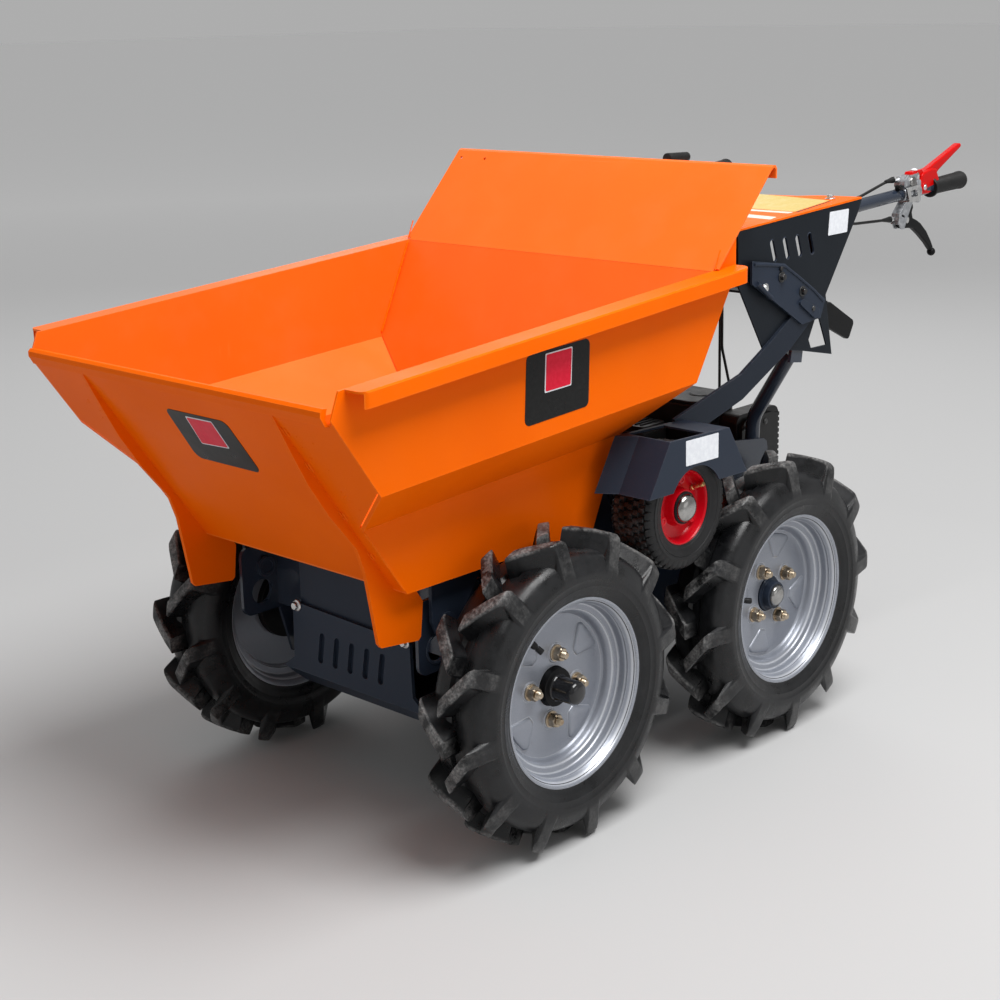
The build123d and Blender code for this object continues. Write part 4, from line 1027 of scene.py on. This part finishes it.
# gear lever: rod, gaiter ring and a moulded cross grip
s = Shape()
s.add(lathe([(0, 0), (6, 0), (6, 122), (0, 122)], P(-760, -90, 560), (-0.28, 0, 1), 24, closed=False), STEEL_DARK)
s.add(lathe([(0, 0), (5.9, 0), (5.9, 31), (0, 31)], P(-762, -90, 566), (-1, 0, 0), 20, closed=False), STEEL_DARK)
prof = [(0, -30.5), (5.6, -30.5), (7.8, -29.8), (8.6, -28.2)]
d = -26.0
while d < 24:
    r = 9.6 + d * 0.036
    prof += [(r, d), (r, d + 2.4), (r - 0.6, d + 2.9), (r - 0.6, d + 3.7)]
    d += 4.4
prof += [(10.6, 27.0), (10.2, 29.0), (8.2, 30.2), (0, 30.5)]
s.add(lathe(prof, P(-793.5, -90, 681), (1, 0, 0), 32, closed=False), BLACK_PLASTIC)
s.add(lathe([(0, 0), (9.0, 0), (9.2, 3), (7.6, 12), (6.0, 12.4), (0, 12.4)], P(-790.4, -90, 666), (-0.2, 0, 1), 24, closed=False), BLACK_PLASTIC)
s.make("gear_lever_visual", "chassis", "black_plastic", smooth=36, replaces=("gear_lever",))
s = Shape()
gait = rounded([(-802, -26), (-748, -26), (-748, 26), (-802, 26)], 10, 5)
gz = lambda x: 606.2 + (-493 - x) * 0.05342
gait_hole = rounded([(-797, -7), (-753, -7), (-753, 7), (-797, 7)], 6, 5)
s.add(prism(gait, lambda u, v, w: P(u, -90 + v, gz(u) + 0.2 + w), 2.6, holes=[gait_hole]), BLACK_PLASTIC)
for u, v in ((-797, -20), (-753, -20), (-797, 20), (-753, 20)):
    dome_bolt(s, P(u, -90 + v, gz(u) + 2.6), Z, 2.6, ZINC, 1.4)
s.make("gear_lever_gate", "chassis", "black_plastic", smooth=34, bevel=0.8)

# ------------------------------------------------------------------ console: blank labels, screws, slot rims, latch gear
s = Shape()


def lid_patch(pts, lift, mat, r=3.0):
    s.add(prism(rounded(pts, r, 4), lambda u, v, w: P(u, v, gz(u) + 0.05 + lift * w), 1.0), mat)


lid_patch([(-816, 40), (-796, 235), (-674, 247), (-674, 40)], 0.35, YELLOW_LABEL)
lid_patch([(-664, 60), (-670, 247), (-656, 247), (-650, 60)], 0.35, PALE_LABEL, 1)
lid_patch([(-632, 90), (-618, 250), (-594, 254), (-604, 90)], 0.35, PALE_LABEL, 1)
lid_patch([(-672, 253.5), (-792, 240.5), (-790, 238.4), (-672, 250.4)], 0.3, SATIN_BLACK, 0)
for x, y in ((-812, 226), (-812, -226), (-520, 236), (-520, -236)):
    hex_bolt(s, P(x, y, gz(x)), (0.053, 0, 1), 10, ZINC)
for sign in (1, -1):
    if sign > 0:
        s.add(prism(rounded([(-756, 608.6), (-814, 609), (-810.5, 570), (-752.5, 569.5)], 2.2, 4), side(262.05, 1), 0.5), WHITE_LABEL)
    else:
        s.add(prism(rounded([(-700, 606), (-740, 607), (-738, 588), (-699, 587)], 2.2, 4), side(-262.05, -1), 0.5), WHITE_LABEL)
s.make("console_labels", "chassis", "", smooth=34)

s = Shape()
for tag, sign in SIDES:
    base = sign * 272.0
    for x, z, af in ((-604.2, 519.2, 10), (-665.1, 487.9, 10), (-693, 456, 8)):
        hex_bolt(s, P(x, base, z), Y * sign, af, STEEL_DARK, turn=x * 0.01)
    dome_bolt(s, P(-559, base, 506), Y * sign, 6.6, ZINC, 3.6)
    hex_bolt(s, P(-600.4, base, 533), Y * sign, 7, STEEL_DARK, washer=False)
    # curved strap round the latch plate's top, and the spring pin in its boss
    strap = [P(x, sign * 272.4, z) for x, z in ((-528, 548), (-560, 544.5), (-612, 536.5), (-652, 514), (-700, 485), (-728, 464))]
    s.add(tube(path_round(strap, 0.03), 2.6, 10, shape=(1, 0.7)), SLATE)
    s.add(tube([P(-536, sign * 272.4, 516), P(-575, sign * 272.4, 489)], [4.5, 4.5], 20), SLATE)
    # link from the latch to the rail
    link = rounded([(-652, 470), (-664, 476), (-714, 452), (-712, 441), (-700, 438)], 5, 4)
    s.add(prism(link, lambda u, v, w, s2=sign: P(u, s2 * (272 + w), v), 4.0), SLATE)
    s.add(bead([P(-585, sign * 268.6, 484), P(-640, sign * 268.6, 451), P(-664, sign * 268.6, 436)], 2.0), SLATE)
    # welds of the stay tubes' tabs and feet
    s.add(bead([P(-686, sign * 252, 400), P(-664, sign * 252, 404)], 1.8), SLATE)
    ring = [P(-656 + 13 * math.cos(t), sign * 181.4 + 13 * math.sin(t), 152) for t in [k * math.pi / 8 for k in range(17)]]
    s.add(bead(ring, 1.6), SLATE)
s.make("latch_gear", "chassis", "zinc_steel", smooth=34)

# slot rims in the console's sides: thin folded edges
s = Shape()
for tag, sign in SIDES:
    for i in range(4):
        cx, cz, rot = -594 - 36 * i, 562, math.radians(70)
        loop = []
        for k in range(28):
            t = 2 * math.pi * k / 28
            ex = 14.5 * (1 if math.cos(t) > 0 else -1) + 5.9 * math.cos(t)
            ez = 5.9 * math.sin(t)
            loop.append((cx + ex * math.cos(rot) - ez * math.sin(rot), cz + ex * math.sin(rot) + ez * math.cos(rot)))
        inner = [(cx + (x - cx) * 0.93, cz + (z - cz) * 0.93) for x, z in loop]
        n = len(loop)
        vv = [P(x, sign * 262.0, z) for x, z in loop] + [P(x, sign * 262.5, z) for x, z in inner]
        vv += [P(x, sign * 258.8, z) for x, z in inner]
        ff = []
        for k in range(n):
            q = (k + 1) % n
            ff += [(k, q, n + q, n + k), (n + k, n + q, 2 * n + q, 2 * n + k)]
        s.add((vv, ff), SLATE)
s.make("slot_rims", "chassis", "grey_paint", smooth=50)

# ------------------------------------------------------------------ mudguards
s = Shape()
s.add(prism(rounded([(-248.5, 325.2), (-329, 323.4), (-329, 284.5), (-249, 286.5)], 1.2, 3), side(352.05, 1), 0.5), WHITE_LABEL)
s.make("guard_plates", "chassis", "", smooth=34)

# ------------------------------------------------------------------ chassis: nose plate bolts, pivot bosses, welds, axle nuts
s = Shape()
for y, z in ((-121, 61), (122.7, 58.5)):
    s.add(lathe([(0, 0), (9.0, 0), (9.5, 0.8), (9.0, 1.8), (7.0, 2.6), (0, 2.6)], P(121, y, z), X, 36, closed=False), ZINC)
    s.add(hex_nut(P(123.0, y, z), X, 11.0, 5.6, 0.3), ZINC)
for tag, sign in SIDES:
    yy = sign * 200.0
    # pressed boss and ring welded round the tie-down eye
    s.add(lathe([(20.6, 0), (23.5, 0), (24.0, 0.8), (23.2, 1.8), (20.8, 2.0)], P(130, yy, 71), Y * sign, 56), SLATE)
    s.add(bead([P(93, sign * 193.4, 48), P(93, sign * 193.4, 140)], 1.8), SLATE)
    for x in (-120, -440, -600):
        hex_bolt(s, P(x, yy, 40 if x == -120 else 150), Y * sign, 13, ZINC, turn=x * 0.1)
    for x in (0, -WHEELBASE):
        s.add(lathe([(30.4, 0), (44, 0), (44.8, 1.2), (43, 3.6), (35, 5.8), (30.4, 6.0)], P(x, yy, 0), Y * sign, 48), SLATE)
        for k in range(4):
            t = math.radians(45 + 90 * k)
            hex_bolt(s, P(x + 38 * math.cos(t), sign * 203.5, 38 * math.sin(t)), Y * sign, 8, STEEL_DARK, washer=False)
    s.add(bead([P(x, sign * 200.6, 153) for x in (44, -40, -120)], 1.6), SLATE)
s.make("chassis_fixings", "chassis", "zinc_steel", smooth=34)

# ------------------------------------------------------------------ skip: seams, stitches, badges, spatter
SLOPE = 0.69
front_dir = Vector((1, 0, -SLOPE)).normalized()


def on_front(y, z, lift=0.0):
    x = 220.6 + SLOPE * (z - 184)
    return P(x, y, z) + front_dir * (lift / 1000)


def front_patch(pts, lift, r, mat):
    s.add(prism(rounded(pts, r, 5), lambda u, v, w: on_front(u, v, 0.05 + lift * w), 1.0), mat)


s = Shape()
front_patch([(-46, 435.5), (86, 435.5), (85, 353.5), (-56, 353.5)], 0.6, 11, BLACK_LABEL)
s.add(prism(rounded([(-6, 429.5), (52, 430.5), (49, 387), (-14, 384)], 2, 4), lambda u, v, w: on_front(u, v, 0.6 + 0.5 * w), 1.0), WHITE_LABEL)
s.add(prism(rounded([(-4, 427.8), (50.4, 428.8), (47.6, 388.6), (-12, 385.8)], 2, 4), lambda u, v, w: on_front(u, v, 1.0 + 0.5 * w), 1.0),
      RED_LABEL)
for sign in (1, -1):
    yy = sign * 330
    s.add(prism(rounded([(73.8, 501.5), (-56.6, 507.5), (-52.5, 411.4), (79.6, 404.5)], 9, 5), side(yy, sign), 0.6), BLACK_LABEL)
    s.add(prism(rounded([(36.2, 499), (-19.4, 501), (-15.9, 447), (39.2, 445)], 2, 4), side(yy + sign * 0.5, sign), 0.5), WHITE_LABEL)
    s.add(prism(rounded([(34.4, 497.2), (-17.4, 499.1), (-14.1, 448.8), (37.2, 446.9)], 2, 4), side(yy + sign * 0.9, sign), 0.5), RED_LABEL)
s.make("skip_badges", "skip", "", smooth=40)

s = Shape()
for tag, sign in SIDES:
    # stitches along the rib and front panel's join
    for yo in (sign * 218.0, sign * 211.0):
        for a, b in ((448, 436), (396, 382), (318, 304), (250, 238)):
            s.add(bead([on_front(yo, a, 0.5), on_front(yo, (a + b) / 2, 0.5), on_front(yo, b, 0.5)], 1.7, 2.2), ORANGE)
    # corner seam between the front panel and the side walls, low part
    s.add(bead([on_front(sign * 237.2, 190, 0.6), on_front(sign * 237.2, 288, 0.6)], 1.5), ORANGE)
    # seam along the floor's edge and behind, inside the skip
    s.add(bead([P(x, sign * 234.2, 188.0) for x in (-158, -60, 60, 160, 214)], 2.2), ORANGE)
    back = lambda z: -164.7 - 0.4706 * (z - 184)
    s.add(bead([P(back(z) + 3.8, sign * 234.3, z) for z in (190, 240, 288)], 2.0), ORANGE)
    s.add(bead([P(back(z) + 3.8, sign * 326.3, z) for z in (412, 460, 520, 562)], 2.0), ORANGE)
    # bead where the wall's top meets the back board, on the outside
    s.add(bead([P(x, sign * 330.6, z) for x, z in ((-344, 566), (-350, 580), (-357, 596))], 1.1), ORANGE)
    # foot of the rib on the lug
    s.add(bead([P(x, sign * 218.0, z) for x, z in ((172, 176), (190, 183), (214, 187))], 2.0), ORANGE)
    # spatter beside the ribs
    for _ in range(26):
        y, z = sign * rng.uniform(222, 262), rng.uniform(300, 440)
        s.add(blob(on_front(y, z, 0.1), rng.uniform(0.5, 1.3), 0.8, front_dir), ORANGE)
# seams across the floor inside
s.add(bead([P(-160, y, 188.4) for y in (-234, -120, 0, 120, 234)], 2.0), ORANGE)
s.make("skip_welds", "skip", "orange_paint", smooth=60)

# rolled bead along the flange's foot
s = Shape()
for tag, sign in SIDES:
    s.add(tube([P(396, sign * 331.2, 507.4), P(-344, sign * 331.2, 507.4 + 0.0718 * 740)], 1.6, 8), ORANGE)
s.make("flange_fillets", "skip", "orange_paint", smooth=60)

# pivot pin retaining rings and grease nipples
s = Shape()
for tag, sign in SIDES:
    s.add(lathe([(10.6, 0), (15.2, 0), (15.4, 0.6), (15.2, 1.3), (10.6, 1.3)], P(123, sign * 187.6, 111), Y * -sign, 36), SLATE)
    s.add(lathe([(0, 0), (3.4, 0), (3.4, 2.4), (2.0, 3.2), (2.6, 4.6), (2.0, 6.0), (0, 6.2)], P(123, sign * 216.0, 111), Y * sign, 18,
                closed=False), ZINC)
s.make("pivot_trim", "chassis", "zinc_steel", smooth=34)

# ------------------------------------------------------------------ engine
s = Shape()
# crankcase with a sump flange and cooling fins over the barrel
s.add(prism(rounded([(-794, -40), (-596, -40), (-592, -34), (-592, 60), (-606, 78), (-784, 78), (-798, 60), (-798, -34)], 10, 5),
            lambda u, v, w: P(u, -118 + w, v), 224), SATIN_BLACK)
s.add(prism(rounded([(-799, -39), (-591, -39), (-591, -28), (-799, -28)], 3, 3), lambda u, v, w: P(u, -126 + w, v), 240), STEEL_DARK)
for k in range(12):
    z = 84 + k * 8.2
    wdt = 6 * math.sin(k * 0.5)
    s.add(prism(rounded([(-776, -104), (-612, -104), (-604, -96), (-604, 96), (-612, 104), (-776, 104), (-784, 96), (-784, -96)], 8, 4),
                lambda u, v, w, zz=z: P(u, v, zz + w), 2.6), CAST)
s.add(prism(rounded([(-768, -96), (-620, -96), (-612, -88), (-612, 88), (-620, 96), (-768, 96), (-776, 88), (-776, -88)], 8, 4),
            lambda u, v, w: P(u, v, 72 + w), 112), SATIN_BLACK)
# muffler with its perforated guard, on the right
s.add(prism(rounded([(-780, 96), (-640, 96), (-640, 176), (-780, 176)], 18, 6), lambda u, v, w: P(u, -128 + w, v), 26), STEEL_DARK)
for i in range(7):
    for j in range(3):
        s.add(lathe([(0, 0), (5.2, 0), (5.0, 0.9), (3.6, 1.0), (3.4, 0.3), (0, 0.2)], P(-766 + 19 * i, -128.2, 114 + 22 * j), (0, -1, 0), 20,
                    closed=False), STEEL_DARK)
s.add(lathe([(0, 0), (9, 0), (9, 8), (7, 8.4), (6.6, 3), (0, 3)], P(-786, -116, 130), (-1, 0, 0), 24, closed=False), STEEL_DARK)
# filler plug and drain plug
s.add(lathe([(0, 0), (11, 0), (11.4, 1.0), (11.4, 7), (10, 9), (4, 9.4), (3.4, 12), (0, 12.2)], P(-620, -119, 10), (0, -1, 0), 30,
            closed=False), YELLOW_LABEL)
hex_bolt(s, P(-680, -119, -14), (0, -1, 0), 12, ZINC)
for x in (-780, -610):
    for z in (-20, 50):
        hex_bolt(s, P(x, 106, z), Y, 10, ZINC)
s.make("engine_detail", "chassis", "black_metal", smooth=34, bevel=0.7, replaces=("engine_block",))

# fan cowl on the left: finned rear edge, starter housing, vents and a pull handle
s = Shape()
cowl = rounded([(-774.2, 62), (-648, 62), (-648, 262), (-774.2, 262)], 17, 7)
s.add(prism(cowl, lambda u, v, w: P(u, 118 + w, v), 38), BLACK_PLASTIC)
inner_cowl = rounded([(-764, 70), (-656, 70), (-656, 254), (-764, 254)], 22, 8)
s.add(prism(inner_cowl, lambda u, v, w: P(u, 154 + w, v), 8), BLACK_PLASTIC)
for k in range(17):
    z = 78 + k * 10.2
    s.add(prism(rounded([(-775.4, 0), (-737, 0), (-737, 7.2), (-775.4, 7.2)], 1.4, 3), lambda u, v, w, zz=z: P(u, 119 + w, zz + v), 38.4),
          BLACK_PLASTIC)
s.add(lathe([(0, 0), (44, 0), (45, 0.8), (45, 2.4), (43, 3.6), (36, 4.0), (35, 2.4), (20, 2.4), (19, 4.0), (0, 4.2)], P(-694, 162, 150), Y,
            56, closed=False), BLACK_PLASTIC)
for k in range(18):
    t = 2 * math.pi * k / 18
    u = Vector((math.cos(t), 0, math.sin(t)))
    v = Vector((-math.sin(t), 0, math.cos(t)))
    c = P(-694, 164.6, 150)
    vv = [c + (u * a + v * b) / 1000 + Y * (h / 1000) for h in (-1.4, 1.1) for a, b in ((22, -1.4), (34, -2.2), (34, 2.2), (22, 1.4))]
    s.add((vv, [(3, 2, 1, 0), (4, 5, 6, 7), (0, 1, 5, 4), (1, 2, 6, 5), (2, 3, 7, 6), (3, 0, 4, 7)]), BLACK_PLASTIC)
for x, z in ((-662, 80), (-662, 240), (-726, 240)):
    dome_bolt(s, P(x, 162, z), Y, 4.4, STEEL_DARK, 2.0)
s.add(slab([(-668, 212), (-700, 222), (-704, 214), (-672, 204)], 163, 5.4, 1, 3), BLACK_PLASTIC)
s.make("cowl_detail", "chassis", "black_plastic", smooth=34, bevel=0.6, replaces=("engine_cowl",))

# tank with a seam, filler cap and two lines running down from it; air cleaner with a ribbed cover and wing nut
s = Shape()
tank = rounded([(-718, -98), (-602, -98), (-602, 108), (-718, 108)], 24, 7)
for z, h, k in ((191, 50, 0.97), (240, 40, 1.0), (279, 7, 0.95)):
    pts = [(-660 + (a + 660) * k, 5 + (b - 5) * k) for a, b in tank]
    s.add(prism(pts, lambda u, v, w, zz=z: P(u, v, zz + w), h), BLACK_PLASTIC)
s.add(prism([(-660 + (a + 660) * 1.005, 5 + (b - 5) * 1.004) for a, b in tank], lambda u, v, w: P(u, v, 238 + w), 4), BLACK_PLASTIC)
s.make("tank_detail", "chassis", "black_plastic", smooth=34, bevel=3.0, segments=3, replaces=("fuel_tank",))
s = Shape()
s.add(lathe([(0, 0), (22, 0), (24, 1), (24, 1.6), (0, 1.6)], P(-672, 64, 285.2), Z, 40, closed=False), BLACK_PLASTIC)
capr = []
for k in range(60):
    t = 2 * math.pi * k / 60
    rr = 21.4 + (0.8 if k % 2 else -0.4)
    capr.append((-672 + rr * math.cos(t), 64 + rr * math.sin(t)))
s.add(prism(capr, lambda u, v, w: P(u, v, 285.6 + w), 1.8), BLACK_PLASTIC)
s.add(tube(path_round([P(-610, 40, 200), P(-596, 40, 196), P(-590, 40, 150), P(-600, 60, 120)], 0.012), 3.0, 10), CABLE)
s.add(tube(path_round([P(-700, -104, 210), P(-700, -112, 190), P(-690, -112, 130)], 0.012), 2.4, 10), CABLE)
s.make("tank_trim", "chassis", "black_plastic", smooth=34)
s = Shape()
s.add(prism(rounded([(-584, -58), (-512, -58), (-512, 58), (-584, 58)], 12, 5), lambda u, v, w: P(u, v, 177 + w), 64), BLACK_PLASTIC)
s.add(prism(rounded([(-586, -60), (-510, -60), (-510, 60), (-586, 60)], 13, 5), lambda u, v, w: P(u, v, 204 + w), 3.6), BLACK_PLASTIC)
s.add(prism(rounded([(-582, -56), (-514, -56), (-514, 56), (-582, 56)], 12, 5), lambda u, v, w: P(u, v, 240 + w), 12), BLACK_PLASTIC)
for k in range(9):
    y = -44 + 11 * k
    if abs(y) < 8:
        continue
    s.add(prism(rounded([(-574, -1.6), (-522, -1.6), (-522, 1.6), (-574, 1.6)], 1.2, 3), lambda u, v, w, yy=y: P(u, yy + v, 251 + w), 3.4),
          BLACK_PLASTIC)
s.add(lathe([(0, 0), (9, 0), (9.4, 1), (9.0, 5), (6, 6.5), (3, 10), (0, 10.2)], P(-548, 0, 251), Z, 28, closed=False), ZINC)
s.make("air_cleaner_detail", "chassis", "black_plastic", smooth=34, bevel=1.6, segments=3, replaces=("air_cleaner",))

# transmission: split-line flange with its bolts, and ribs across the case
s = Shape()
trans = NODES["transmission"]
lo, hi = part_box("transmission")
lo, hi = Vector(lo), Vector(hi)
mid, span = (lo + hi) / 2, (hi - lo)
s.add(prism(rounded([(lo.x + 0.012, lo.z + 0.012), (hi.x - 0.012, lo.z + 0.012), (hi.x - 0.012, hi.z - 0.012), (lo.x + 0.012, hi.z - 0.012)],
                    0.02, 5), lambda u, v, w: Vector((u, lo.y + 0.0005 + w, v)), span.y - 0.001), CAST)
s.add(prism(rounded([(lo.x + 0.001, lo.z + 0.001), (hi.x - 0.001, lo.z + 0.001), (hi.x - 0.001, hi.z - 0.001), (lo.x + 0.001, hi.z - 0.001)],
                    0.026, 5), lambda u, v, w: Vector((u, mid.y - 0.007 + w, v)), 0.014), CAST)
for k in range(5):
    x = lo.x + 0.025 + (span.x - 0.05) * k / 4
    for z in (lo.z + 0.007, hi.z - 0.007):
        hex_bolt(s, Vector((x, mid.y + 0.007, z)), Y, 9, ZINC, washer=False)
for k in range(4):
    y = lo.y + 0.03 + (span.y - 0.06) * k / 3
    if abs(y - mid.y) > 0.02:
        s.add(prism(rounded([(lo.x + 0.02, lo.z + 0.006), (hi.x - 0.02, lo.z + 0.006), (hi.x - 0.02, hi.z - 0.006), (lo.x + 0.02, hi.z - 0.006)],
                            0.02, 4), lambda u, v, w, yy=y: Vector((u, yy - 0.002 + w, v)), 0.004), CAST)
s.make("transmission_detail", "chassis", "cast_case", smooth=34, bevel=1.2, replaces=("transmission",))


# ------------------------------------------------------------------ finishes of the carried-over parts
FINISH = {
    "skip_pivot_lugs": (SLATE, "grey_paint"), "skip_pivot_pins": (SLATE, "grey_paint"),
    # the skip's inside faces take the lighter copy of the orange, with painted light in its base
    "skip_back": (ORANGE_INSIDE_LIT, "orange_paint"), "skip_floor": (ORANGE_INSIDE_LIT, "orange_paint"),
    "skip_side_right": (ORANGE_INSIDE_LIT, "orange_paint"), "skip_": (ORANGE, "orange_paint"), "console_lid": (ORANGE, "orange_paint"), "console_shell": (DARK, "grey_paint"),
    "latch_plates": (SLATE, "grey_paint"), "frame_rails": (RAIL_PAINT_SHADED, "grey_paint"), "nose_plate": (NOSE_PAINT_LIT, "grey_paint"), "mudguard": (SLATE, "grey_paint"),
    "engine_cables": (CABLE, ""), "handle_cables": (CABLE, ""), "axle": (STEEL_DARK, ""),
    "release_flap": (SATIN_BLACK, ""), "handlebar": (TUBE_PAINT, ""), "stay_tubes": (TUBE_PAINT, ""), "chassis_side": (TUBE_PAINT, ""),
}
SOFT = {"skip_side": 1.1, "skip_front": 1.1, "skip_back": 1.2, "skip_floor": 0.8, "skip_ribs": 1.3, "skip_pivot_lugs": 2.6,
        "skip_pivot_pins": 2.5, "chassis_side": 1.4, "chassis_tray": 1.0, "nose_plate": 0.9, "mudguard": 0.9, "frame_rails": 1.2,
        "latch_plates": 1.4, "console_shell": 0.7, "console_lid": 0.8, "stay_tubes": 0.8, "engine_block": 4.0, "engine_cowl": 2.0,
        "fuel_tank": 1.2, "air_cleaner": 3.0, "transmission": 5.0, "release_flap": 1.4, "friction_wheel_arms": 1.0, "axle": 0.8}
for n, ob in NODES.items():
    if ob.hide_render:
        continue
    mat = SLATE
    for k, (m, _) in FINISH.items():
        if n.startswith(k):
            mat = m
            break
    ob.data.materials.clear()
    ob.data.materials.append(mat)
    for k, wdt in SOFT.items():
        if n.startswith(k):
            soften(ob, wdt, 3 if wdt > 1.2 else 2, 30)
            break


# ------------------------------------------------------------------ camera, floor and light
def make_camera():
    yaw, pitch, roll = 0.7623, 0.2756, -0.0216
    b = Vector((math.cos(yaw) * math.cos(pitch), math.sin(yaw) * math.cos(pitch), math.sin(pitch)))
    r = Z.cross(b).normalized()
    u = b.cross(r)
    r2 = math.cos(roll) * r + math.sin(roll) * u
    u2 = -math.sin(roll) * r + math.cos(roll) * u
    data = bpy.data.cameras.new("camera")
    data.lens, data.sensor_width = 62.93, 36.0
    data.clip_start, data.clip_end = 0.05, 200
    cam = bpy.data.objects.new("camera", data)
    m = Matrix((r2, u2, b)).transposed().to_4x4()
    m.translation = Vector((2.1433, 1.8904, 1.1902))
    cam.matrix_world = m
    bpy.context.scene.collection.objects.link(cam)
    bpy.context.scene.camera = cam


make_camera()

floor_mesh = bpy.data.meshes.new("floor")
floor_mesh.from_pydata([(-70, -70, 0), (70, -70, 0), (70, 70, 0), (-70, 70, 0)], [], [(0, 1, 2, 3)])
floor = bpy.data.objects.new("floor", floor_mesh)
bpy.context.scene.collection.objects.link(floor)
# floor tone graded with distance from the middle: darker round the vehicle as painted shade, paler far off as painted
# light
fm = bpy.data.materials.new("floor")
fm.use_nodes = True
fn = fm.node_tree
where = fn.nodes.new("ShaderNodeTexCoord")
reach = fn.nodes.new("ShaderNodeVectorMath")
reach.operation = "LENGTH"
floor_painted_light_ramp = fn.nodes.new("ShaderNodeMapRange")
for key, val in (("From Min", 1.5), ("From Max", 9.0), ("To Min", 0.52), ("To Max", 0.97)):
    floor_painted_light_ramp.inputs[key].default_value = val
tone = fn.nodes.new("ShaderNodeCombineColor")
fn.links.new(where.outputs["Object"], reach.inputs[0])
fn.links.new(reach.outputs["Value"], floor_painted_light_ramp.inputs["Value"])
for ch in ("Red", "Green", "Blue"):
    fn.links.new(floor_painted_light_ramp.outputs["Result"], tone.inputs[ch])
fn.links.new(tone.outputs["Color"], fn.nodes["Principled BSDF"].inputs["Base Color"])
sock(fm.node_tree.nodes["Principled BSDF"], "Roughness", 0.75)
floor_mesh.materials.append(fm)


def panel(name, where, look_at, w, h, watts, colour=(1, 1, 1)):
    lamp = bpy.data.lights.new(name, "AREA")
    lamp.shape, lamp.size, lamp.size_y, lamp.energy, lamp.color = "RECTANGLE", w, h, watts, colour
    ob = bpy.data.objects.new(name, lamp)
    ob.location = where
    ob.rotation_euler = (Vector(look_at) - Vector(where)).to_track_quat("-Z", "Y").to_euler()
    bpy.context.scene.collection.objects.link(ob)
    return ob


panel("key", (0.15, 1.75, 4.1), (0, 0, 0.5), 2.6, 2.4, 208)
panel("fill_front", (3.4, -1.6, 1.5), (0, 0, 0.4), 2.2, 1.6, 1.5)
panel("fill_side", (-0.6, 4.2, 1.2), (-0.1, 0, 0.4), 2.6, 1.6, 9)
panel("rim_back", (-2.6, -2.6, 2.6), (0, 0, 0.5), 2.2, 1.8, 22)

world = bpy.data.worlds.new("world")
bpy.context.scene.world = world
world.use_nodes = True
nt = world.node_tree
nt.nodes["Background"].inputs["Strength"].default_value = 0.42
nt.nodes["Background"].inputs["Color"].default_value = (1, 1, 1, 1)
bpy.context.scene.view_settings.view_transform = "Standard"
